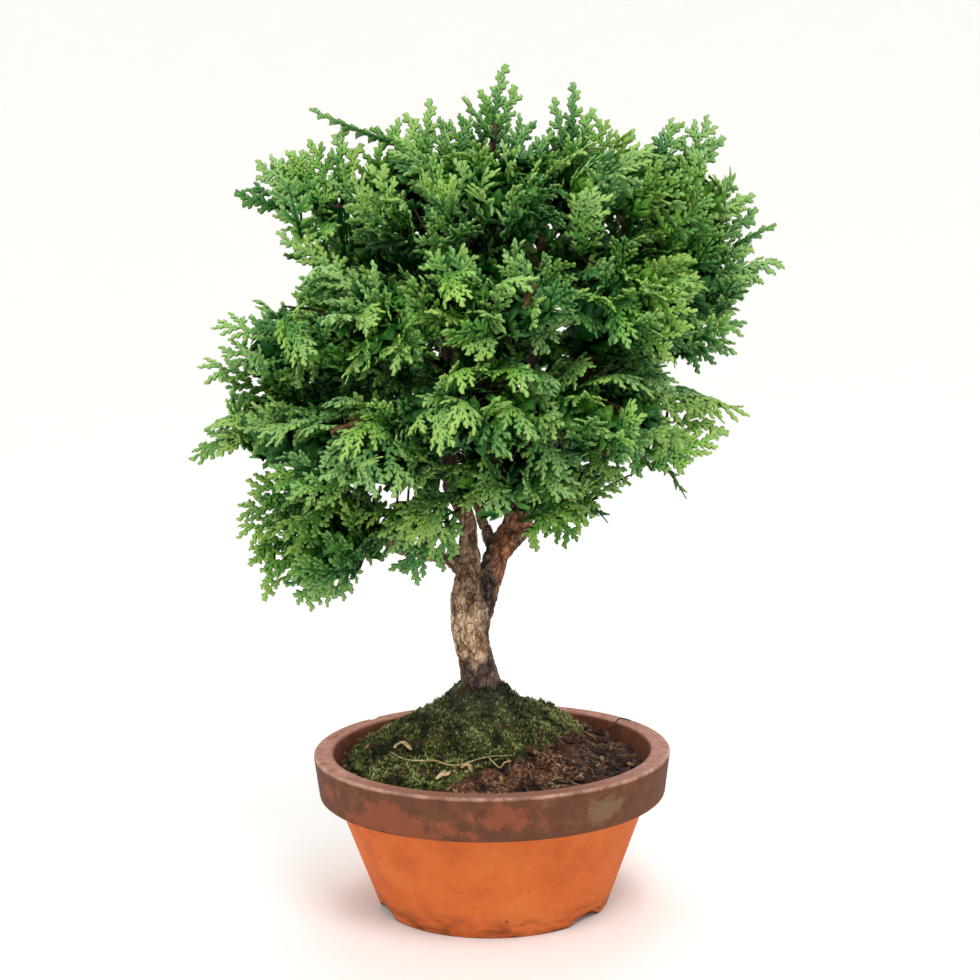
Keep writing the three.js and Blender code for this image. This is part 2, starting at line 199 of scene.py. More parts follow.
def neighbours(ring):
    """Each item of a closed ring with the one after it."""
    return list(zip(ring, ring[1:] + ring[:1]))


def circle(radius, count):
    """Even points round the Z axis, as x and y."""
    turns = 2 * math.pi * np.arange(count) / count
    return np.column_stack([radius * np.cos(turns), radius * np.sin(turns)])


def turned(outline, sectors):
    """A closed outline of radii and heights turned round Z: its points, and its quads by sector and row."""
    turns = np.linspace(0, 2 * math.pi, sectors, endpoint=False)[:, None]
    radii, heights = outline[None, :, 0], outline[None, :, 1]
    around = [radii * np.cos(turns), radii * np.sin(turns), heights + 0 * turns]
    here = np.arange(sectors * len(outline)).reshape(sectors, -1)
    ahead = np.roll(here, -1, axis=0)
    quads = np.stack([here, ahead, np.roll(ahead, -1, axis=1), np.roll(here, -1, axis=1)], axis=2)
    return np.stack(around, axis=2).reshape(-1, 3), quads


def bearing(points):
    """(radii, azimuths in degrees) of points round the Z axis."""
    return np.hypot(points[:, 0], points[:, 1]), np.degrees(np.arctan2(points[:, 1], points[:, 0]))


# ---------------------------------------------------------------- shader helpers


SPOT = {"grain": 1.2, "fade": 1.3}  # size of a ragged edge's lumps, and a spot's end as a share of its radius


class Paint:
    """Builds one material from nodes."""

    def __init__(self, name, **settings):
        self.material = bpy.data.materials.new(name)
        self.material.use_nodes = True
        self.nodes = self.material.node_tree.nodes
        self.shader = self.nodes["Principled BSDF"]
        self.place = self.node("ShaderNodeTexCoord").outputs["Object"]
        for socket, value in settings.items():
            self.shader.inputs[socket.replace("_", " ")].default_value = value

    def node(self, kind, inputs=(), **settings):
        """A node with its settings, and its inputs as values or links."""
        made = self.nodes.new(kind)
        for key, value in settings.items():
            setattr(made, key, value)
        for key, value in dict(inputs).items():
            if isinstance(value, bpy.types.NodeSocket):
                self.material.node_tree.links.new(value, made.inputs[key])
            else:
                made.inputs[key].default_value = value
        return made

    def to(self, socket, value):
        """Links a value to one of the shader's sockets."""
        self.material.node_tree.links.new(value, self.shader.inputs[socket])

    def attribute(self, name):
        """A vertex attribute's number."""
        return self.node("ShaderNodeAttribute", attribute_name=name).outputs["Fac"]

    def axis(self, letter):
        """The place along X, Y or Z, in metres."""
        return self.node("ShaderNodeSeparateXYZ", {"Vector": self.place}).outputs[letter]

    def cell_place(self, size, stretch):
        """The place counted in cells of a size in millimetres, drawn out along each axis by stretch."""
        scale = [1 / (size * MM * share) for share in stretch]
        return self.node("ShaderNodeMapping", {"Vector": self.place, "Scale": scale}).outputs[0]

    def noise(self, size, detail=3.0, roughness=0.55, stretch=(1, 1, 1)):
        """Noise from 0 to 1 with lumps of the given size."""
        inputs = {"Scale": 1.0, "Detail": detail, "Roughness": roughness}
        place = self.cell_place(size, stretch)
        return self.node("ShaderNodeTexNoise", {"Vector": place, **inputs}).outputs["Fac"]

    def cells(self, size, feature="F1", stretch=(1, 1, 1), ragged=0.0):
        """Distances from 0 to 1 in cells of the given size, with ragged edges."""
        place = self.cell_place(size, stretch)
        if ragged:
            inputs = {"Vector": place, "Scale": 1.0, "Detail": 3.0}
            shift = self.node("ShaderNodeTexNoise", inputs).outputs["Color"]
            inputs = {0: shift, 1: [ragged] * 3, 2: place}
            place = self.node("ShaderNodeVectorMath", inputs, operation="MULTIPLY_ADD").outputs["Vector"]
        made = self.node("ShaderNodeTexVoronoi", {"Vector": place, "Scale": 1.0}, feature=feature)
        return made.outputs["Distance"]

    def math(self, kind, first, second=0.0, clamp=False):
        """One step of arithmetic."""
        made = self.node("ShaderNodeMath", {0: first, 1: second}, operation=kind, use_clamp=clamp)
        return made.outputs[0]

    def plus(self, total, *others):
        """Numbers added."""
        for other in others:
            total = self.math("ADD", total, other)
        return total

    def times(self, first, second):
        """Two numbers multiplied."""
        return self.math("MULTIPLY", first, second)

    def band(self, value, low, high, start=0.0, end=1.0):
        """value stretched so that low and high come out as start and end, with nothing outside."""
        inputs = {"Value": value, "From Min": low, "From Max": high, "To Min": start, "To Max": end}
        return self.node("ShaderNodeMapRange", inputs, clamp=True).outputs[0]

    def ramp(self, value, *stops):
        """Colours along a value. Each stop is its place, then the screen colour."""
        made = self.node("ShaderNodeValToRGB", {"Fac": value})
        marks = made.color_ramp.elements
        for index, (place, *colour) in enumerate(stops):
            mark = marks[index] if index < 2 else marks.new(place)
            mark.position, mark.color = place, linear(*colour)
        return made.outputs["Color"]

    def mix(self, share, first, second, kind="MIX"):
        """Two colours mixed by a share. The second may be a screen colour."""
        made = self.node("ShaderNodeMix", {"Factor": share}, data_type="RGBA", blend_type=kind)
        inputs = [socket for socket in made.inputs if socket.type == "RGBA"]
        self.material.node_tree.links.new(first, inputs[0])
        if isinstance(second, tuple):
            inputs[1].default_value = linear(*second)
        else:
            self.material.node_tree.links.new(second, inputs[1])
        return next(socket for socket in made.outputs if socket.type == "RGBA")

    def layers(self, colour, *rows):
        """A colour with others laid over it. Each row is a share and its colour."""
        for share, over in rows:
            colour = self.mix(share, colour, over)
        return colour

    def spots(self, colour, rows, over):
        """A colour with ragged spots of another. Each row is a spot's x, y, z and radius in millimetres."""
        for *place, radius in rows:
            ragged = self.times(self.noise(SPOT["grain"], 3), radius * MM)
            inputs = {0: self.place, 1: [share * MM for share in place]}
            away = self.node("ShaderNodeVectorMath", inputs, operation="DISTANCE").outputs["Value"]
            inside = self.band(self.plus(away, ragged), radius * MM, SPOT["fade"] * radius * MM, 1.0, 0.0)
            colour = self.mix(inside, colour, over)
        return colour

    def bump(self, height, depth, strength=1.0):
        """A normal raised by height from 0 to 1 over depth in millimetres."""
        inputs = {"Height": height, "Distance": depth * MM, "Strength": strength}
        return self.node("ShaderNodeBump", inputs).outputs["Normal"]


# ---------------------------------------------------------------- foliage

SPRAY = {
    "reach": 8.5,  # of the longest lateral
    "lateral_step": 2.7,  # between laterals, on alternate sides
    "tooth_step": 1.2,  # between teeth, on alternate sides
    "tooth": 1.95,  # length of a tooth
    "tooth_width": 1.4,
    "thickness": 1.15,
    "stem": 0.4,  # half the width between teeth
    "taper": 0.0,  # how much narrower a twig gets to its end
    "bend": 0.5,  # of the axis, either way
    "curl": 0.25,  # how far a twig leaves the plane, as a share of its length
    "lengths": (12, 16, 20, 25),
    "variants": 5,
}
COARSE = dict(
    SPRAY,
    reach=10.5,
    lateral_step=4.6,
    tooth_step=2.3,
    tooth=3.8,
    tooth_width=2.6,
    stem=0.8,
    lengths=(18, 24),
    variants=3,
)
FILL = dict(
    COARSE,
    reach=8.0,
    lateral_step=5.0,
    tooth_step=3.2,
    tooth=4.8,
    tooth_width=3.8,
    stem=1.6,
    lengths=(14, 20),
)
SLIM = dict(SPRAY, reach=4.0, bend=0.2, curl=0.15, lengths=(12, 17, 23), variants=3)
SHOOT = dict(
    SPRAY,
    reach=0.8,
    tooth=1.3,
    tooth_width=1.7,
    stem=0.9,
    thickness=1.6,
    taper=0.35,
    bend=0.15,
    curl=0.04,
    lengths=(12, 18, 26, 40),
    variants=2,
)
SPIKE = dict(SHOOT, tooth=1.0, stem=1.1, taper=0.85, lengths=(12, 16))
TOOTH = {
    "lean": (0.66, 0.98),  # radians off the twig's line
    "rise": (-0.2, 0.15),  # out of the twig's plane
    "outline": ((0.72, -1), (1.02, 0), (0.78, 1)),  # back edge, tip and front edge, along and across
    "middle": 0.62,  # place and height of the raised middle
    "end": 1.4,  # how much wider than its stem a twig ends
}
# How far out on a twig a point counts, which also paints highlight on the teeth and shade on the ridge and
# between teeth: on the ridge, between teeth, at the end, and a tooth's four points
EDGE_AND_LIGHT = {"ridge": -0.5, "gap": -2.0, "end": 0.5, "tooth": [0.3, 1.0, 0.5, 1.0]}
SCALE_LEAF = 1.5  # length of a scale leaf
TWIGS_ABOVE = 136  # no spray's twig leaves the wood below this level
FOLIAGE_VALUES = ("age", "tone", "along", "across")  # the first is 0 on an old stem and 1 at a growing tip, lowered for painted shade in recesses, in gaps and inside the crown, and raised for painted highlight on the teeth
DEAD, WOODY, GREEN = -1.4, -2.0, -0.1  # the ages of dead sprays, brown twigs and green twigs


def flat_line(start, heading, length, bend, steps):
    """Points of a flat line that starts at heading and turns by bend over its length."""
    points = [np.array(start, float)]
    for step in range(steps):
        angle = heading + bend * (step + 0.5) / steps
        points.append(points[-1] + length / steps * np.array([math.cos(angle), math.sin(angle), 0.0]))
    return np.array(points)


def stitched(first, first_keys, second, second_keys):
    """Triangles between two rows of points, kept level with each other by their keys."""
    faces, i, j = [], 0, 0
    while i + 1 < len(first) or j + 1 < len(second):
        if j + 1 == len(second) or (i + 1 < len(first) and first_keys[i + 1] <= second_keys[j + 1]):
            faces.append([first[i], second[j], first[i + 1]])
            i += 1
        else:
            faces.append([first[i], second[j], second[j + 1]])
            j += 1
    return faces


def blade_tooth(form, root, ahead, across, size, slim, rng):
    """A tooth's points: its back edge, tip, front edge and raised middle."""
    lean = rng.uniform(*TOOTH["lean"])
    out = ahead * math.cos(lean) + across * math.sin(lean) + UP * rng.uniform(*TOOTH["rise"])
    front = ahead * math.sin(lean) - across * math.cos(lean)
    half = slim * form["tooth_width"] / 2 * rng.uniform(0.85, 1.15)
    outline = [root + out * size * share + front * half * side for share, side in TOOTH["outline"]]
    return [*outline, root + out * size * TOOTH["middle"] + UP * form["thickness"] * TOOTH["middle"]]


def blade_side(form, ridge, heading, bend, side, hand, count, rng):
    """One side of a blade, with points numbered from count: the points, how far out each counts, and a row.

    The row holds each point between teeth: its step, its number and the number of a tooth after it, if any.
    """
    points, edge, row = [], [], []
    steps = len(ridge) - 1
    for key, root in enumerate(ridge):
        share = key / steps
        slim = 1 - form["taper"] * share
        angle = heading + bend * share
        ahead = np.array([math.cos(angle), math.sin(angle), 0.0])
        across = np.array([-ahead[1], ahead[0], 0.0]) * side
        if 0 < key < steps and (key % 2 == 1) == (side == hand):
            row[-1][2] = count + len(points)
            fullness = 0.72 + 0.42 * math.sin(share * math.pi) - 0.22 * share
            size = slim * form["tooth"] * fullness * rng.uniform(0.8, 1.15)
            points += blade_tooth(form, root, ahead, across, size, slim, rng)
            edge += EDGE_AND_LIGHT["tooth"]
        else:
            row.append([key, count + len(points), None])
            points.append(root + across * slim * form["stem"] * (TOOTH["end"] if key == steps else 1.0))
            edge.append(EDGE_AND_LIGHT["end" if key == steps else "gap"])
    return points, edge, row


def side_faces(row, side):
    """The faces on one side of a blade: a raised top and a flat bottom for each tooth, and plain ends."""
    faces = []
    for (key, before, tooth), (after_key, after, _) in zip(row, row[1:]):
        spine = list(range(key, after_key + 1))
        if tooth is None:
            top, bottom = [[before, key, after], [after, key, after_key]], []
        else:
            back, tip, front, middle = range(tooth, tooth + 4)
            around = [before, back, tip, front, after, *spine[::-1]]
            top = [[middle, second, first] for first, second in neighbours(around)]
            bottom = [[before, back, tip], [before, tip, front], [before, front, after]]
        faces += top + bottom if side == 1 else [face[::-1] for face in top + bottom]
    return faces


def blade_faces(left, right):
    """A blade's faces, from the rows of its two sides."""
    left_keys, left_points, _ = zip(*left)
    right_keys, right_points, _ = zip(*right)
    underside = stitched(right_points, right_keys, left_points, left_keys)
    ends = [[0, left_points[0], right_points[0]], [left_keys[-1], right_points[-1], left_points[-1]]]
    return side_faces(left, 1) + side_faces(right, -1) + underside + ends


def add_blade(shape, form, start, heading, length, bend, ages, rng, hand=1):
    """A twig clad in scale leaves: a closed flat strip with a raised middle and blunt alternate teeth."""
    steps = max(3, round(length / form["tooth_step"]))
    ridge = flat_line(start, heading, length, bend, steps)
    ridge[:, 2] += rng.uniform(-0.9, 1.1) * form["curl"] * length * np.linspace(0, 1, steps + 1) ** 1.5
    ridge[-1] += unit(ridge[-1] - ridge[-2]) * form["stem"] * 1.5
    points, edge = list(ridge + UP * form["thickness"] * 0.5), [EDGE_AND_LIGHT["ridge"]] * (steps + 1)
    rows = []
    for side in (1, -1):
        new_points, new_edge, row = blade_side(form, ridge, heading, bend, side, hand, len(points), rng)
        points += new_points
        edge += new_edge
        rows.append(row)
    faces = np.array(blade_faces(*rows))
    points, edge = np.array(points), np.array(edge)
    along = (points - ridge[0]) @ unit(ridge[-1] - ridge[0])
    # The edge term lightens the teeth with a painted highlight and darkens the ridge and the gaps between
    # teeth with painted shade
    age = ages[0] + (ages[1] - ages[0]) * np.clip(along / length, 0, 1) + 0.2 * edge
    shape.add(points, triangles=faces, age=age, tone=rng.uniform(-1, 1), along=along, across=edge)
    return ridge


def add_lateral(shape, form, start, heading, length, age, side, rng):
    """A side twig, with short twigs of its own if it is long."""
    bend = -side * rng.uniform(0.0, 0.7)
    tip_age = age + (1 - age) * 0.7
    ridge = add_blade(shape, form, start, heading, length, bend, (age, tip_age), rng, side)
    step = form["lateral_step"] * 0.95
    for index in range(1, int(length / step)):
        share = index * step / length
        turn = side if index % 2 else -side
        size = (length * (1 - share) * 0.5 + 1.5) * rng.uniform(0.7, 1.0)
        if size > 3 * form["tooth_step"]:
            at = ridge[round(share * (len(ridge) - 1))]
            lean = heading + bend * share + turn * rng.uniform(0.7, 0.9)
            young = age + (tip_age - age) * share
            add_blade(shape, form, at, lean, size, -turn * 0.2, (young, young + 0.25), rng, turn)


def spray_template(form, length, rng):
    """One flat spray along +X, with laterals on alternate sides in the XY plane."""
    shape = Shape(*FOLIAGE_VALUES)
    count = int(length / form["lateral_step"])
    bend = rng.uniform(-1, 1) * form["bend"]
    heading = -bend / 2
    axis, shares = flat_line((0, 0, 0), heading, length, bend, count), np.linspace(0, 1, count + 1)
    ages = 0.05 + 0.8 * shares
    spine = add_blade(shape, form, (0, 0, 0), heading, length, bend, (0.05, 0.9), rng)
    axis[:, 2] = np.interp(shares, np.linspace(0, 1, len(spine)), spine[:, 2])
    reach = form["reach"] * rng.uniform(0.8, 1.15)
    for node in range(1, count):
        along = node / count
        side = 1 if node % 2 else -1
        fullness = min(1.0, 0.4 + 1.4 * along) * (1.0 - along**2.4) ** 0.7
        size = reach * fullness * rng.uniform(0.82, 1.12) + 1.5
        ahead = math.atan2(*(axis[node] - axis[node - 1])[[1, 0]])
        spread = math.radians(56 - 24 * along) * rng.uniform(0.9, 1.1)
        add_lateral(shape, form, axis[node], ahead + side * spread, size, ages[node], side, rng)
    return {"length": length, "reach": reach + 2.0, "mesh": shape.joined()}


def spray_templates(form, seed):
    """A few different sprays of each length."""
    rng = np.random.default_rng(seed)
    return [spray_template(form, length, rng) for length in form["lengths"] for _ in range(form["variants"])]


def fitting_template(templates, length, rng):
    """One of the templates that are nearest to a length."""
    nearest = min(abs(template["length"] - length) for template in templates)
    fitting = [template for template in templates if abs(template["length"] - length) <= nearest + 1e-6]
    return fitting[rng.integers(len(fitting))]


def place_spray(shape, template, tip, ahead, up, length, rng, arch=0.25, age=0.0):
    """Adds a spray that ends at tip, grows towards ahead and faces up, and returns where it starts.

    Its line arches, its sides droop and low waves cross it.
    """
    points, quads, triangles, values = template["mesh"]
    scale = length / template["length"]
    local = points * scale
    if rng.random() < 0.5:
        local = local * (1, -1, 1)
        quads, triangles = quads[:, ::-1], triangles[:, ::-1]
    along, across = local[:, 0] / length, local[:, 1] / (template["reach"] * scale)
    waves = 0.6 * np.sin(along * 8 + rng.uniform(0, 6)) + 0.7 * np.sin(across * 4 + rng.uniform(0, 6))
    height = local[:, 2] + 2 * arch * length * along * (1 - along) - 0.14 * length * across**2 + waves * scale
    ahead, up = unit(ahead), np.asarray(up, float)
    up = unit(up - ahead * (up @ ahead))
    start = np.asarray(tip, float) - ahead * length
    flat = start + np.outer(local[:, 0], ahead) + np.outer(local[:, 1], np.cross(up, ahead))
    placed = flat + np.outer(height, up)
    ages = np.full(len(placed), DEAD) if age == DEAD else np.clip(values["age"] + age, -1.0, 1.2)
    tones = 0.5 * values["tone"] + rng.uniform(-0.7, 0.7)
    shape.add(placed, quads, triangles, age=ages, tone=tones, along=values["along"], across=values["across"])
    return placed[0]


def spread_points(name, spacing, rng):
    """Even random points on a CAD node's surface, and the normals there."""
    corners = node_points(name)[node_triangles(name)]
    crosses = np.cross(corners[:, 1] - corners[:, 0], corners[:, 2] - corners[:, 0])
    areas = np.linalg.norm(crosses, axis=1) / 2
    tries = int(areas.sum() / spacing**2 * 6)  # six for each place
    chosen = rng.choice(len(areas), tries, p=areas / areas.sum())
    first, second = rng.random(tries), rng.random(tries)
    folded = first + second > 1
    first[folded], second[folded] = 1 - first[folded], 1 - second[folded]
    found = corners[chosen, 0] + first[:, None] * (corners[chosen, 1] - corners[chosen, 0])
    found += second[:, None] * (corners[chosen, 2] - corners[chosen, 0])
    normals = unit(crosses)[chosen]
    kept = []
    for index, point in enumerate(found):
        if all(np.linalg.norm(point - found[other]) > spacing for other in kept):
            kept.append(index)
    return found[kept], normals[kept]


def sky_directions(count=40):
    """Even directions all round."""
    index = np.arange(count) + 0.5
    level = 1 - 2 * index / count
    turn = math.pi * (1 + 5**0.5) * index
    flat = np.sqrt(1 - level**2)
    return np.stack([flat * np.cos(turn), flat * np.sin(turn), level], axis=1)


SKY = sky_directions()


def openness(tree, point, normal, reach=30):
    """The share of the directions off a surface that meet no pad within reach."""
    start = point + normal * 1.0
    facing = SKY[SKY @ normal > 0.1]
    return np.mean([tree.ray_cast(Vector(start), Vector(way), reach)[0] is None for way in facing])


def pad_form(name):
    """A pad's middle, and the point that its sprays fan out from."""
    low, high = (np.array(corner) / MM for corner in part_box(name))
    middle = (low + high) / 2
    if "leader" in name:
        return middle, middle - UP * (high - low)[2] * 0.5
    out = unit((middle - CROWN["axis"]) * (1, 1, 0))
    reach = np.abs(out) @ (high - low) / 2
    return middle, middle - out * reach * 0.9


CROWN = {"axis": (-3.0, 2.0, 0.0), "lift_from": 185.0, "lift_to": 265.0}

# Bays of the crown's outline, which the tips stay out of: left, right, low and high
BAYS = (
    (-130.0, -62.0, 221.0, 252.0),
    (-130.0, -74.0, 250.0, 263.0),
    (-130.0, -80.0, 125.0, 171.0),
    (-130.0, -96.0, 171.0, 190.0),
    (-50.0, -34.0, 112.0, 132.0),
    (34.0, 130.0, 100.0, 152.0),
    (61.0, 130.0, 174.0, 197.0),
    (77.0, 130.0, 150.0, 177.0),
    (86.0, 130.0, 207.0, 222.0),
    (-130.0, -84.0, 199.0, 212.0),
    (-52.0, -33.0, 267.0, 300.0),
)
CLEARING = {"left": -22.0, "right": 23.0, "below": 143.0, "behind": 20.0}  # free of sprays, round the stems

# The fine sprays at the pads' surfaces, and how much wider apart they are on airy pads, which have no others
FINE = {
    "spacing": 9.4,
    "back": 1.1,  # how much wider at the back
    "back_from": 20,  # y of the pads' middles there
    "lengths": (11, 25),
    "hidden": 0.25,  # none where less than this share of the sky is open
    "under": -0.7,  # none where the surface faces down this much
    "swell": 6.0,  # how far the crown swells and sinks
    "swell_size": 24.0,
}
AIRY = {"foliage_top_left_fan": 1.7, "foliage_leader": 1.2, "foliage_second_leader": 1.2}

# Sprays inside a pad: how far the ways that they grow and face scatter, how much of the surface's slope their
# facing keeps, how deep and how far back their tips lie, and how much darker they are: painted shade, with
# older foliage in the coarse ones
INNER = {
    "coarse": {"spacing": 16.0, "scatter": 6, "tilt": 0.35, "level": 1, "deep": 8, "back": 3, "age": -0.4},
    "fill": {"spacing": 14.0, "scatter": 9, "tilt": 0.4, "level": 0.4, "deep": 11, "back": 2, "age": -0.6},
}
COARSE_LENGTHS = (18, 24)
BURIED = 0.5  # how deep the coarsest sprays lie at least

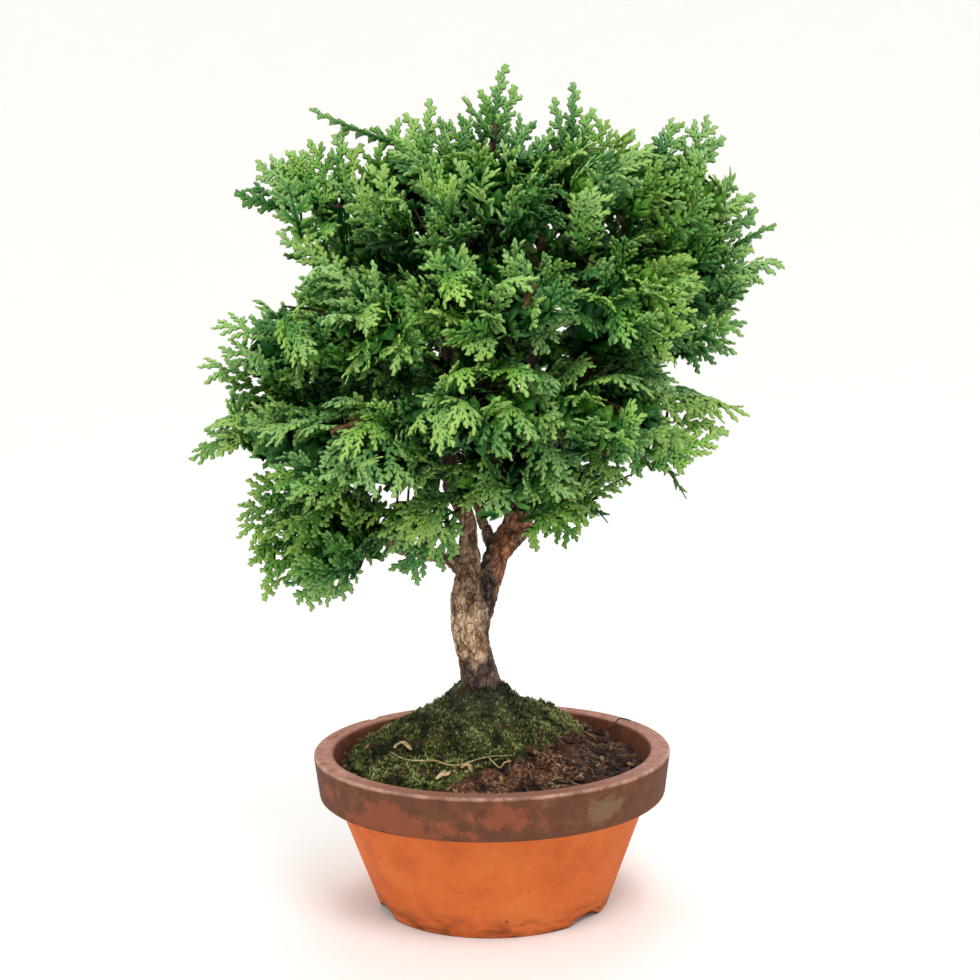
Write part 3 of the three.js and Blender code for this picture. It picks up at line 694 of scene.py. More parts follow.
# Sprigs that stand out of each pad: kind, tip, start, facing, and how much younger than the rest
FRONT, TOP, SLANT = (0.0, -1.0, 0.15), (0.0, -0.25, 1.0), (0.0, -0.7, 0.7)
SPRIGS = {
    "top_left": (
        ("shoot", (-59, -5, 287), (-28, -5, 274), FRONT, 0.1),
        ("shoot", (-38, -4, 280), (-22, -4, 270), FRONT, 0.1),
        ("slim", (-18, -8, 290), (-20, -8, 268), FRONT, 0.3),
        ("slim", (-26, -8, 285), (-20, -8, 268), FRONT, 0.2),
        ("fine", (-13, -8, 282), (-15, -8, 264), FRONT, 0.1),
        ("fine", (-6, -8, 283), (-8, -8, 265), FRONT, 0.0),
        ("fine", (-31, -12, 281), (-27, -12, 265), SLANT, 0.1),
        ("fine", (-38, 4, 274), (-32, 4, 258), FRONT, -0.2),
    ),
    "top_left_fan": (
        ("slim", (-49, -4, 281), (-50, -4, 262), FRONT, 0.35),
        ("slim", (-43, -4, 275), (-50, -4, 258), FRONT, 0.3),
        ("fine", (-79, -2, 267), (-56, -2, 255), FRONT, 0.25),
        ("slim", (-87, 2, 258), (-68, 2, 253), FRONT, -0.3),
        ("slim", (-83, 4, 262), (-66, 4, 257), SLANT, -0.3),
        ("fine", (-66, -2, 273), (-54, -2, 252), FRONT, -0.15),
        ("fine", (-59, 0, 275), (-52, 0, 252), FRONT, -0.1),
        ("fine", (-72, 0, 268), (-54, 0, 250), FRONT, -0.2),
        ("slim", (-73, 0, 253), (-53, 0, 242), FRONT, 0.0),
        ("slim", (-62, 0, 256), (-49, 0, 232), FRONT, -0.1),
        ("slim", (-54, 0, 262), (-48, 0, 232), FRONT, -0.2),
        ("fine", (-41, 2, 264), (-47, 2, 238), FRONT, -0.3),
        ("slim", (-68, 0, 246), (-50, 0, 232), FRONT, -0.1),
        ("slim", (-72, -6, 245), (-56, -6, 234), SLANT, 0.4),
        ("slim", (-70, 2, 238), (-55, 2, 231), SLANT, -0.5),
    ),
    "left_upper": (
        ("fine", (-94, -6, 214), (-72, -6, 208), SLANT, 0.3),
        ("fine", (-99, -6, 199), (-79, -6, 194), SLANT, 0.0),
        ("fine", (-92, -10, 203), (-72, -10, 199), SLANT, 0.1),
    ),
    "leader": (
        ("shoot", (-6, -2, 290), (4, -2, 276), FRONT, 0.2),
        ("slim", (8, 0, 302), (4, 0, 279), FRONT, 0.2),
        ("slim", (12, 0, 294), (5, 0, 278), FRONT, 0.1),
        ("slim", (0, 0, 293), (3, 0, 277), FRONT, 0.0),
        ("fine", (-3, -10, 273), (-3, -10, 256), FRONT, 0.3),
    ),
    "top_front": (
        ("fine", (13, -8, 279), (12, -8, 262), FRONT, 0.1),
        ("fine", (21, -8, 277), (18, -8, 260), FRONT, 0.0),
    ),
    "second_leader": (
        ("slim", (32, -2, 295), (31, -2, 272), FRONT, 0.2),
        ("slim", (25, -3, 290), (29, -3, 269), FRONT, 0.2),
        ("slim", (38, -1, 286), (33, -1, 268), FRONT, 0.1),
    ),
    "top_right_front": (
        ("fine", (41, -6, 282), (42, -6, 264), FRONT, 0.1),
        ("fine", (50, -8, 277), (46, -8, 261), FRONT, 0.1),
    ),
    "top_right": (
        ("fine", (68, 4, 281), (58, 4, 264), FRONT, 0.1),
        ("fine", (80, 4, 281), (70, 4, 264), FRONT, 0.2),
        ("slim", (84, 4, 276), (73, 4, 260), FRONT, 0.2),
    ),
    "right_middle": (
        ("slim", (94, 0, 256), (80, 0, 242), FRONT, 0.1),
        ("slim", (96, 0, 250), (80, 0, 239), FRONT, 0.1),
        ("shoot", (102, 0, 245), (88, 0, 238), FRONT, 0.0),
        ("slim", (94, 0, 238), (78, 0, 233), SLANT, 0.0),
        ("fine", (104, -4, 231), (80, -4, 227), SLANT, 0.4),
        ("slim", (93, -4, 222), (76, -4, 222), SLANT, 0.2),
        ("fine", (90, -4, 210), (70, -4, 212), SLANT, 0.1),
        ("fine", (87, -6, 204), (67, -6, 209), SLANT, 0.0),
        ("fine", (80, -2, 199), (62, -2, 207), FRONT, -0.1),
    ),
    "right_spray": (
        ("fine", (90, -6, 179), (66, -6, 185), TOP, 0.4),
        ("fine", (82, -12, 179), (60, -10, 185), TOP, 0.3),
        ("fine", (84, -2, 182), (62, -2, 188), TOP, 0.1),
        ("fine", (78, -8, 181), (58, -8, 187), SLANT, 0.2),
        ("fine", (68, -12, 181), (49, -12, 188), SLANT, 0.2),
        ("slim", (85, -8, 173), (66, -8, 178), SLANT, 0.3),
        ("fine", (72, -10, 170), (55, -10, 176), SLANT, 0.2),
        ("fine", (72, -4, 162), (56, -4, 170), SLANT, 0.0),
        ("spike", (70, -4, 150), (62, -4, 163), FRONT, -0.3),
    ),
    "right_front": (
        ("fine", (57, -10, 162), (41, -10, 170), SLANT, 0.1),
        ("fine", (48, -10, 158), (33, -10, 168), SLANT, 0.0),
        ("fine", (26, -14, 187), (20, -14, 205), FRONT, -0.35),
    ),
    "lower_right": (
        ("fine", (44, -8, 158), (30, -8, 162), SLANT, 0.3),
        ("spike", (42, 0, 141), (34, 0, 151), FRONT, -0.3),
        ("slim", (37, -2, 142), (31, -2, 155), FRONT, -0.3),
        ("fine", (29, -6, 134), (23, -6, 152), FRONT, -0.3),
        ("fine", (22, -6, 138), (20, -6, 154), FRONT, -0.3),
        ("slim", (15, -8, 133), (19, -8, 146), FRONT, 0.2),
        ("fine", (50, -4, 158), (34, -4, 160), SLANT, -0.1),
    ),
    "left_tip": (
        ("fine", (-104, -8, 170), (-84, -8, 175), SLANT, -0.1),
        ("slim", (-95, -14, 169), (-80, -12, 175), FRONT, 0.1),
        ("fine", (-92, -2, 191), (-72, -2, 186), SLANT, 0.0),
        ("fine", (-78, -2, 196), (-66, -2, 181), FRONT, -0.1),
        ("fine", (-60, 0, 198), (-54, 0, 182), FRONT, -0.2),
    ),
    "lower_left": (
        ("slim", (-80, -8, 115), (-76, -8, 135), FRONT, 0.2),
        ("slim", (-85, -4, 127), (-76, -4, 140), FRONT, 0.1),
        ("fine", (-88, -6, 148), (-68, -6, 150), SLANT, 0.15),
        ("fine", (-88, -6, 139), (-69, -6, 143), SLANT, 0.15),
        ("fine", (-84, -8, 156), (-66, -8, 155), FRONT, -0.1),
        ("fine", (-83, -6, 131), (-66, -6, 138), FRONT, 0.15),
        ("fine", (-66, -8, 113), (-61, -8, 133), FRONT, 0.2),
        ("fine", (-53, -8, 117), (-51, -8, 134), FRONT, 0.1),
        ("fine", (-62, -12, 118), (-58, -12, 136), FRONT, 0.1),
    ),
    "left_back": (
        ("fine", (-48, 6, 200), (-44, 6, 182), FRONT, -0.3),
        ("fine", (-34, 4, 200), (-32, 4, 182), FRONT, -0.3),
        ("coarse", (-30, 16, 184), (-16, 16, 196), FRONT, -0.3),
        ("coarse", (-46, 12, 182), (-32, 12, 194), FRONT, -0.3),
        ("coarse", (-64, 10, 185), (-46, 10, 192), FRONT, -0.3),
    ),
    "lower_centre_left": (
        ("fine", (-27, -26, 125), (-20, -26, 138), FRONT, 0.1),
        ("fine", (-31, -26, 128), (-20, -25, 141), FRONT, 0.0),
        ("fine", (-18, -26, 130), (-14, -24, 145), FRONT, 0.1),
        ("slim", (-13, -26, 134), (-12, -24, 148), FRONT, 0.2),
        ("fine", (-35, -26, 138), (-20, -26, 146), SLANT, 0.3),
        ("fine", (-37, -26, 143), (-21, -24, 149), SLANT, 0.2),
        ("fine", (-22, -28, 137), (-15, -25, 151), SLANT, 0.3),
        ("fine", (-33, -20, 147), (-16, -20, 152), SLANT, 0.1),
        ("fine", (-26, -22, 151), (-10, -20, 155), SLANT, 0.1),
    ),
    "left_front": (
        ("fine", (-50, -10, 178), (-46, -10, 196), FRONT, -0.35),
        ("fine", (-32, -10, 178), (-30, -10, 196), FRONT, -0.35),
        ("shoot", (-50, -60, 181), (-40, -54, 184), FRONT, DEAD),
        ("fine", (-51, -64, 165), (-41, -62, 178), SLANT, 0.4),
        ("fine", (-39, -68, 162), (-38, -62, 178), SLANT, 0.4),
        ("fine", (-28, -66, 163), (-35, -60, 178), SLANT, 0.4),
    ),
    "front_upper": (
        ("shoot", (15, -70, 228), (12, -62, 219), FRONT, DEAD),
        ("fine", (-1, -72, 204), (-2, -56, 215), SLANT, 0.3),
        ("fine", (18, -60, 208), (18, -44, 219), SLANT, 0.2),
    ),
    "centre_front": (
        ("fine", (-28, -68, 204), (-29, -54, 213), SLANT, 0.3),
        ("fine", (19, -62, 191), (17, -46, 200), SLANT, 0.35),
    ),
    "lower_back_left": (
        ("coarse", (-26, 14, 148), (-12, 14, 160), FRONT, -0.3),
        ("coarse", (-38, 18, 155), (-22, 18, 162), FRONT, -0.3),
    ),
    "lower_back_right": (("coarse", (40, 12, 151), (26, 12, 163), FRONT, -0.3),),
    "right_back": (("coarse", (27, 18, 192), (22, 18, 211), FRONT, -0.3),),
    "front_upper_left": (("coarse", (-18, 0, 220), (-16, 0, 236), FRONT, -0.3),),
    "top_back": (
        ("fine", (-1, 6, 281), (-1, 6, 263), FRONT, -0.2),
        ("fine", (9, 6, 277), (7, 6, 261), FRONT, -0.2),
    ),
    "top_back_right": (("fine", (25, 6, 278), (23, 6, 262), FRONT, -0.2),),
}


def spray_heading(point, normal, base, rng):
    """The way that a spray at a pad's surface grows and the way that it faces."""
    lift = smooth(CROWN["lift_from"], CROWN["lift_to"], point[2])
    ahead = unit(unit(point - base) + 0.25 * normal + UP * (1.0 * lift - 0.15) + rng.normal(0, 0.38, 3))
    up = unit(0.6 * normal + 0.7 * UP * (1 - 0.4 * lift) + rng.normal(0, 0.55, 3))
    return ahead, up


def add_pad_twig(shape, wood, start, age=WOODY):
    """A thin twig from the nearest wood to where a spray starts: brown, or green where it shows."""
    nearest = np.array(wood.find_nearest(Vector(start))[0])
    span = np.linalg.norm(start - nearest)
    shares = np.linspace(0, 1, 3)
    line = nearest + np.outer(shares, start - nearest)
    line[:, 2] += 0.08 * span * np.sin(shares * math.pi)
    points, quads, triangles = tube(line, [0.6, 0.5, 0.4])
    shape.add(points, quads, triangles, age=age, along=points[:, 2])


def in_bay(place):
    """Whether a place lies in one of the bays of the crown's outline."""
    return any(left < place[0] < right and low < place[2] < high for left, right, low, high in BAYS)


def in_clearing(tip, ahead, length):
    """Whether a spray would hang in front of the bare stems."""
    for share in (0, 0.5, 1):
        x, y, z = tip - ahead * length * share
        if z < CLEARING["below"] and CLEARING["left"] < x < CLEARING["right"] and y < CLEARING["behind"]:
            return True
    return False


def add_fine_sprays(shape, name, templates, pads, wood, rng):
    """The fine sprays at a pad's surface, wherever it shows."""
    middle, base = pad_form(name)
    spacing = FINE["spacing"] * (FINE["back"] if middle[1] > FINE["back_from"] else 1) * AIRY.get(name, 1)
    points, normals = spread_points(name, spacing, rng)
    swell = wobble(points, FINE["swell_size"], 12)
    for point, normal, rise in zip(points, normals, swell):
        light = openness(pads, point, normal)
        if light < FINE["hidden"] or normal[2] < FINE["under"]:
            continue
        ahead, up = spray_heading(point, normal, base, rng)
        length = np.clip(np.linalg.norm(point - base) * rng.uniform(0.55, 0.95), *FINE["lengths"])
        tip = point + ahead * (FINE["swell"] * rise + rng.uniform(-3, 1))
        while in_bay(tip):
            tip = tip - ahead * 2
        on_leader_tip = "leader" in name and tip[2] > middle[2]
        if on_leader_tip or in_clearing(tip, ahead, length):
            continue
        template = fitting_template(templates["fine"], length, rng)
        # Sprays in recesses, where less of the sky is open, get a darker colour: painted shade
        arch, age = rng.uniform(-0.2, 0.4), 0.4 * (light - 0.55) + rng.uniform(-0.14, 0.16)
        add_pad_twig(shape, wood, place_spray(shape, template, tip, ahead, up, length, rng, arch, age))


def is_buried(pads, tip, ahead, up, length):
    """Whether a coarse spray would lie inside the pads, at its tip and on both of its sides."""
    aside = np.cross(up, ahead) * FILL["reach"]
    middle = tip - ahead * length * 0.45
    for place in (tip, middle, middle + aside, middle - aside):
        if in_bay(place):
            return False
        nearest, normal = pads.find_nearest(Vector(place))[:2]
        if (Vector(place) - nearest).dot(normal) > -BURIED:
            return False
    return True


def coarse_length(pads, tip, ahead, up, reach):
    """The length of a coarse spray, or None where it would show in a bay or in front of the stems."""
    length = np.clip(reach, *COARSE_LENGTHS)
    shows = in_clearing(tip, ahead, length) or in_bay(tip) or in_bay(tip - ahead * 8)
    return None if shows else length


def fill_length(pads, tip, ahead, up, reach):
    """The length of the longest of the coarsest sprays that lies inside the pads, or None."""
    for length in sorted(FILL["lengths"], reverse=True):
        if is_buried(pads, tip, ahead, up, length) and not in_clearing(tip, ahead, length):
            return length
    return None


def add_inner_sprays(shape, name, kind, find_length, templates, pads, rng):
    """Coarse sprays inside a pad, darkened with painted shade."""
    (_, base), inner = pad_form(name), INNER[kind]
    points, normals = spread_points(name, inner["spacing"], rng)
    for point, normal in zip(points, normals):
        ahead = unit(point - base + rng.normal(0, inner["scatter"], 3))
        up = unit(normal * (1, 1, inner["level"]) + rng.normal(0, inner["tilt"], 3))
        tip = point - normal * inner["deep"] - ahead * inner["back"]
        length = find_length(pads, tip, ahead, up, np.linalg.norm(point - base))
        if length is not None:
            template = fitting_template(templates[kind], length, rng)
            place_spray(shape, template, tip, ahead, up, length, rng, age=inner["age"])


def pad_piece(name, templates, pads, wood, material):
    """One pad: fine sprays wherever it shows, coarse ones behind them, its sprigs, and their twigs."""
    rng = np.random.default_rng(sum(map(ord, name)))
    shape = Shape(*FOLIAGE_VALUES)
    add_fine_sprays(shape, name, templates, pads, wood, rng)
    if name not in AIRY:
        add_inner_sprays(shape, name, "coarse", coarse_length, templates, pads, rng)
        add_inner_sprays(shape, name, "fill", fill_length, templates, pads, rng)
    for kind, tip, start, facing, age in SPRIGS.get(name.removeprefix("foliage_"), ()):
        ahead = np.subtract(tip, start).astype(float)
        length = np.linalg.norm(ahead)
        template = fitting_template(templates[kind], length, rng)
        root = place_spray(shape, template, tip, ahead, facing, length, rng, 0.1, age)
        add_pad_twig(shape, wood, root, GREEN)
    return shape.piece(name.replace("foliage_", "sprays_"), material, "foliage", name)


def leaf_green(paint, age, tone):
    """The colour of scale leaves by their age and painted shade, warm in some places and cool in others."""
    patch = paint.band(paint.noise(28, 2), 0.3, 0.7, -0.2, 0.2)
    shifted = paint.plus(age, patch, paint.band(tone, -1, 1, -0.16, 0.16))
    warm = paint.ramp(
        shifted,
        (0.0, 12, 64, 0),
        (0.3, 56, 108, 20),
        (0.6, 94, 149, 47),
        (0.85, 126, 174, 68),
        (1.0, 152, 190, 92),
    )
    cool = paint.ramp(
        shifted,
        (0.0, 5, 58, 14),
        (0.3, 46, 98, 46),
        (0.6, 80, 133, 70),
        (0.85, 110, 158, 88),
        (1.0, 138, 180, 108),
    )
    broad = paint.band(paint.noise(32, 2), 0.35, 0.65)
    coolness = paint.math("ADD", broad, paint.band(tone, -1, 1, 0.4, -0.4), clamp=True)
    return paint.mix(coolness, warm, cool)


def foliage_material():
    """Scale leaves: dark and dull inside, where their colour holds painted shade, and bright at the growing
    tips.
    """
    paint = Paint("hinoki_foliage", Roughness=0.5)
    age, tone = paint.attribute("age"), paint.attribute("tone")
    chevron = paint.times(paint.attribute("across"), 0.55)
    turns = paint.math("DIVIDE", paint.plus(paint.attribute("along"), chevron), SCALE_LEAF)
    scale_leaf = paint.math("FRACT", turns)
    seam = paint.ramp(paint.band(scale_leaf, 0.0, 0.25, 0.76, 1.0), (0.0, 0, 0, 0), (1.0, 255, 255, 255))
    dead = paint.ramp(paint.noise(2, 3), (0.3, 74, 56, 38), (0.7, 124, 98, 62))
    bark = paint.ramp(paint.noise(3, 3), (0.3, 34, 28, 22), (0.7, 70, 54, 40))
    colour = paint.layers(
        paint.mix(1.0, leaf_green(paint, age, tone), seam, "MULTIPLY"),
        (paint.band(age, -1.3, -1.2, 1.0, 0.0), dead),
        (paint.band(age, -1.8, -1.6, 1.0, 0.0), bark),
    )
    paint.to("Base Color", colour)
    paint.to("Specular IOR Level", paint.band(age, -0.3, 0.6, 0.05, 0.25))
    paint.to("Normal", paint.bump(scale_leaf, 0.2, 0.5))
    return paint.material


def add_foliage():
    """All the pads, each in place of its CAD solid."""
    material = foliage_material()
    names = sorted(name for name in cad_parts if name.startswith("foliage_"))
    pads, wood = search_tree(*names), search_tree("trunk_and_branches", above=TWIGS_ABOVE)
    forms = {
        "fine": (SPRAY, 11),
        "coarse": (COARSE, 12),
        "fill": (FILL, 15),
        "slim": (SLIM, 14),
        "shoot": (SHOOT, 13),
        "spike": (SPIKE, 16),
    }
    templates = {kind: spray_templates(form, seed) for kind, (form, seed) in forms.items()}
    for name in names:
        pad_piece(name, templates, pads, wood, material)


# ---------------------------------------------------------------- pot

PAN = {
    "rim_radius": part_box("pot")[1].x / MM,
    "height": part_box("pot")[1].z / MM,
    "lip_radius": 57.7,  # inner edge of the lip
    "band_height": 15.2,
    "band_radius": 63.0,  # lower edge of the rim band
    "body_radius": 57.0,  # under the band
    "base_radius": 41.8,
    "wall": 5.0,
    "foot_width": 6.0,
    "foot_height": 3.5,
    "floor_top": 10.0,
    "floor_radius": 37.5,
    "hole_radius": 8.0,
    "groove": 61.6,  # radius of the fine line round the lip
    "arris": 0.9,
    "sectors": 216,
    "fine": 2.2,  # between points along the band's outline
    "plain": 6.0,  # between points elsewhere
}
ARCHES = {"azimuths": (321.3, 201.3, 81.3), "width": 19.5, "height": 3.3, "reach": 30}  # reach in degrees
CHIP = {"azimuth": 136.0, "width": 6.5, "depth": 1.25, "reach": 8, "least": 0.3}

# Stains on the band: azimuth, height, half width in degrees, half height, strength
RED_STAINS = (
    (236, 48, 9, 5, 1.0),
    (228, 44, 12, 2.5, 0.9),
    (246, 43.5, 9, 2.2, 0.9),
    (273, 50, 10, 6, 0.6),
    (258, 45, 10, 3, 0.5),
    (205, 50, 9, 5, 0.5),
    (20, 47, 14, 5, 0.8),
    (80, 50, 16, 5, 0.7),
    (130, 45, 14, 4, 0.8),
)
POT_MARKS = (  # small dark marks on the body: x, y, z and radius
    (-39.5, -33.5, 27.5, 0.6),
    (-4.5, -54.5, 36.0, 0.5),
    (9.8, -51.0, 27.9, 0.5),
    (11.8, -47.0, 19.0, 0.6),
    (4.4, -44.0, 7.2, 0.8),
    (-11.7, -47.0, 18.7, 0.5),
)
# Small pale chips on the band's edge: x, y, z and radius
POT_CHIPS = ((13.2, -63.2, 56.8, 0.5), (16.6, -62.5, 56.3, 0.35), (37.0, -53.0, 56.5, 0.4))
OLIVE_STAINS = ((307, 49, 9, 5, 1.0), (290, 54, 12, 3, 0.4), (165, 50, 16, 6, 0.7), (50, 52, 10, 5, 0.6))


def pan_corners():
    """The pan's outline as corners: radius, height and rounding."""
    foot, top, band = PAN["foot_height"], PAN["height"], PAN["height"] - PAN["band_height"]
    inner, arris, groove = PAN["base_radius"] - PAN["foot_width"], PAN["arris"], PAN["groove"]
    return [
        (PAN["hole_radius"], foot, 0.4),
        (inner, foot, 0.6),
        (inner, 0, 0.5),
        (PAN["base_radius"], 0, 0.9),
        (PAN["body_radius"], band - arris, 0.7),
        (PAN["band_radius"], band - arris, 1.3),
        (PAN["rim_radius"], top, 1.6),
        (groove + 0.5, top, 0.1),
        (groove, top - 0.3, 0.1),
        (groove - 0.5, top, 0.1),
        (PAN["lip_radius"], top, 1.4),
        (PAN["lip_radius"] - 1, top - PAN["band_height"] / 2, 2),
        (PAN["body_radius"] - PAN["wall"], band, 2),
        (PAN["floor_radius"] + 1, PAN["floor_top"], 2),
        (PAN["hole_radius"], PAN["floor_top"], 0.4),
    ]


def rounded(corners):
    """Points along a closed outline, with each corner rounded by its third number."""
    flat = np.array([corner[:2] for corner in corners], float)
    points = []
    for index, (*_, size) in enumerate(corners):
        here = flat[index]
        before, after = flat[index - 1], flat[(index + 1) % len(flat)]
        reach = min(size, *(np.linalg.norm(end - here) * 0.45 for end in (before, after)))
        start, end = here + unit(before - here) * reach, here + unit(after - here) * reach
        steps = 3 if size > 0.3 else 1
        for share in np.linspace(0, 1, steps + 1):
            points.append((1 - share) ** 2 * start + 2 * share * (1 - share) * here + share**2 * end)
    filled = []
    for here, after in neighbours(points):
        grain = PAN["fine"] if here[0] > PAN["lip_radius"] else PAN["plain"]
        pieces = max(1, round(np.linalg.norm(after - here) / grain))
        filled += [here + (after - here) * piece / pieces for piece in range(pieces)]
    return np.array(filled)


def turn_between(azimuths, middle):
    """Angles from a middle azimuth, from -180 to 180 degrees."""
    return (azimuths - middle + 180) % 360 - 180


def cut_arches(points):
    """Lifts the foot over each of its arches."""
    radii, azimuths = bearing(points)
    width, height = ARCHES["width"], ARCHES["height"]
    curve = ((width / 2) ** 2 + height**2) / (2 * height)
    for middle in ARCHES["azimuths"]:
        off = turn_between(azimuths, middle)
        across = radii * np.sin(np.radians(off))
        under = (np.abs(off) < ARCHES["reach"]) & (np.abs(across) < width / 2)
        ceiling = height - curve + np.sqrt(np.maximum(curve**2 - across**2, 0))
        points[under, 2] = np.maximum(points[under, 2], ceiling[under])


def chip_rim(points):
    """Breaks a flake off the rim's outer edge."""
    radii, azimuths = bearing(points)
    off = turn_between(azimuths, CHIP["azimuth"])
    across = radii * np.sin(np.radians(off)) + 0.5 * wobble(points, 2.0, 4)
    inside = 1 - smooth(0.35, 0.5, np.abs(across) / CHIP["width"])
    depth = CHIP["depth"] * inside + 0.25 * wobble(points, 1.3, 5)
    proud = 0.6 * (radii - PAN["rim_radius"]) + 0.8 * (points[:, 2] - PAN["height"]) + depth
    broken = (proud > 0) & (np.abs(off) < CHIP["reach"]) & (depth > CHIP["least"])
    points[broken, 2] -= 0.8 * proud[broken]
    points[broken, :2] *= (1 - 0.6 * proud[broken] / radii[broken])[:, None]
    return broken.astype(float)


def stain(azimuths, heights, rows):
    """How strongly the stains in a list cover each point."""
    cover = np.zeros(len(azimuths))
    for azimuth, height, wide, tall, strength in rows:
        off = (turn_between(azimuths, azimuth) / wide) ** 2 + ((heights - height) / tall) ** 2
        cover = np.maximum(cover, strength * np.exp(-off))
    return cover


def clay_places(points):
    """How far each point of the pan belongs to each kind of surface."""
    radii, azimuths = bearing(points)
    azimuths, heights = azimuths % 360, points[:, 2]
    top, band_foot, body = PAN["height"], PAN["height"] - PAN["band_height"], PAN["body_radius"]
    slope = (body - PAN["base_radius"]) / band_foot
    mid_wall = np.where(heights < band_foot, PAN["base_radius"] + slope * heights - PAN["wall"] / 2, 60)
    past_body = smooth(body + 0.3, body + 2, radii)
    return {
        "band": smooth(band_foot - 1.6, band_foot - 0.2, heights) * past_body,
        "lip": smooth(top - 1.1, top - 0.2, heights),
        "arris": smooth(0.9, 0.3, np.hypot(radii - PAN["rim_radius"] + 0.6, heights - top + 0.4)),
        "red": stain(azimuths, heights, RED_STAINS),
        "olive": stain(azimuths, heights, OLIVE_STAINS),
        "inside": (radii < mid_wall) * smooth(9, 10, heights) * smooth(58.4, 57.9, radii),
    }


def add_pan():
    """The terracotta pan, turned from its outline, with a chipped rim and arches under its foot."""
    points, quads = turned(rounded(pan_corners()), PAN["sectors"])
    chipped = chip_rim(points)
    outside = smooth(1, 6, points[:, 2])
    points[:, :2] *= 1 + (0.0022 * outside * wobble(points, 22, 1))[:, None]
    cut_arches(points)
    shape = Shape("band", "lip", "arris", "red", "olive", "chip", "inside")
    shape.add(points, quads.reshape(-1, 4), chip=chipped, **clay_places(points))
    mesh = shape.piece("terracotta_pan", terracotta(), "terracotta", "pot").data
    work = bmesh.new()
    work.from_mesh(mesh)
    bmesh.ops.remove_doubles(work, verts=work.verts, dist=0.02 * MM)
    work.to_mesh(mesh)
    work.free()
    mesh.set_sharp_from_angle(angle=math.radians(38))


def body_clay(paint, fine, broad):
    """The pan's body: orange, with grime at its foot."""
    streak = paint.band(paint.noise(9, 4, 0.65, (1, 1, 0.35)), 0.42, 0.62)
    grime = paint.times(paint.band(paint.axis("Z"), 0.001, 0.010, 1.0, 0.0), streak)
    return paint.layers(
        paint.ramp(broad, (0.25, 184, 84, 38), (0.5, 204, 102, 46), (0.75, 212, 116, 58)),
        (paint.band(fine, 0.35, 0.75, 0.0, 0.25), (226, 138, 92)),
        (paint.times(grime, 0.85), (92, 52, 34)),
    )


def band_clay(paint, weather):
    """The rim band: weathered brown, with red and olive stains."""
    ragged = paint.times(weather, 1.8)
    red = paint.band(paint.plus(paint.attribute("red"), ragged), 1.15, 1.35, 0.0, 0.55)
    olive = paint.band(paint.plus(paint.attribute("olive"), ragged), 1.3, 1.6, 0.0, 0.75)
    return paint.layers(
        paint.ramp(weather, (0.3, 88, 54, 40), (0.5, 102, 64, 46), (0.62, 112, 72, 52), (0.75, 124, 82, 62)),
        (paint.band(paint.noise(2.2, 4, 0.7), 0.5, 0.72, 0.0, 0.25), (78, 54, 44)),
        (red, (150, 78, 54)),
        (olive, (122, 98, 76)),
    )


def lip_clay(paint):
    """The lip: pinkish, and browner at the front and the right."""
    tone = paint.noise(3.5, 5, 0.65)
    pink = paint.ramp(tone, (0.3, 150, 102, 88), (0.5, 192, 138, 123), (0.72, 212, 166, 150))
    return paint.layers(
        pink,
        (paint.band(paint.axis("X"), 0.0, 0.05, 0.0, 0.3), (150, 116, 104)),
        (paint.band(paint.axis("Y"), -0.058, -0.030, 0.95, 0.0), (138, 94, 78)),
    )


def terracotta():
    """Unglazed clay with worn edges, pits, marks and chips."""
    paint = Paint("terracotta", Roughness=0.78, Specular_IOR_Level=0.15)
    fine, broad, weather = paint.noise(0.7, 4), paint.noise(16, 4, 0.6), paint.noise(5, 6, 0.68)
    edge = paint.plus(paint.attribute("band"), paint.band(weather, 0.3, 0.7, -0.2, 0.2))
    worn = paint.times(paint.attribute("arris"), paint.band(weather, 0.42, 0.6, 0.1, 0.7))
    pit = paint.times(paint.band(paint.cells(4.2), 0.03, 0.09, 1.0, 0.0), paint.band(broad, 0.45, 0.55))
    colour = paint.layers(
        body_clay(paint, fine, broad),
        (paint.band(edge, 0.35, 0.65), band_clay(paint, weather)),
        (paint.times(paint.attribute("lip"), 0.9), lip_clay(paint)),
        (worn, (206, 168, 152)),
        (paint.attribute("inside"), paint.ramp(weather, (0.3, 96, 58, 44), (0.7, 140, 88, 66))),
        (paint.attribute("chip"), (208, 130, 104)),
        (paint.times(pit, 0.7), (96, 48, 28)),
    )
    colour = paint.spots(colour, POT_MARKS, (104, 56, 36))
    paint.to("Base Color", paint.spots(colour, POT_CHIPS, (206, 160, 138)))
    paint.to("Roughness", paint.band(weather, 0.3, 0.7, 0.68, 0.86))
    rings = paint.noise(1.1, 2, 0.5, (30, 30, 1))
    relief = paint.plus(paint.times(rings, 0.5), paint.times(fine, 0.5))
    paint.to("Normal", paint.bump(paint.math("SUBTRACT", relief, pit), 0.22, 0.7))
    return paint.material


# ---------------------------------------------------------------- soil and moss

SOIL = {
    "cell": 1.1,
    "edge": 56.2,  # radius of its top
    "level": 50.0,  # of its top, where the CAD solid has none
    "lump_size": 5.5,
    "rough": 1.9,
    "crumbs": 560,
    "crumb_size": (0.55, 1.2),  # least, and how much more at most
    "fibres": 240,
    "fibre_radius": (0.14, 0.3),
    "spread": 54.0,  # radius within which crumbs and fibres lie
    "under": 0.3,  # gap over the pan's floor
}
# A crumb's tones, from dark to straw, and how common each is
CRUMB_TONES = {"a": [0.3, 0.5, 0.8, 1.0], "p": [0.3, 0.4, 0.24, 0.06]}
MOSS = {
    "cell": 1.1,
    "lump_size": 4.2,
    "lumps": 1.7,
    "sunk": 2.0,  # its edge under the soil
    "tufts": 8000,
    "tuft_height": (0.7, 1.7),
    "tuft_width": (0.45, 1.0),
    "collar": 4.5,  # how far it climbs the trunk
    "collar_radius": 14.0,
}


def surface_height(tree, x, y):
    """The height of the topmost surface at a place, or None."""
    hit = tree.ray_cast(Vector((x, y, 120.0)), Vector((0, 0, -1)))[0]
    return None if hit is None else hit.z


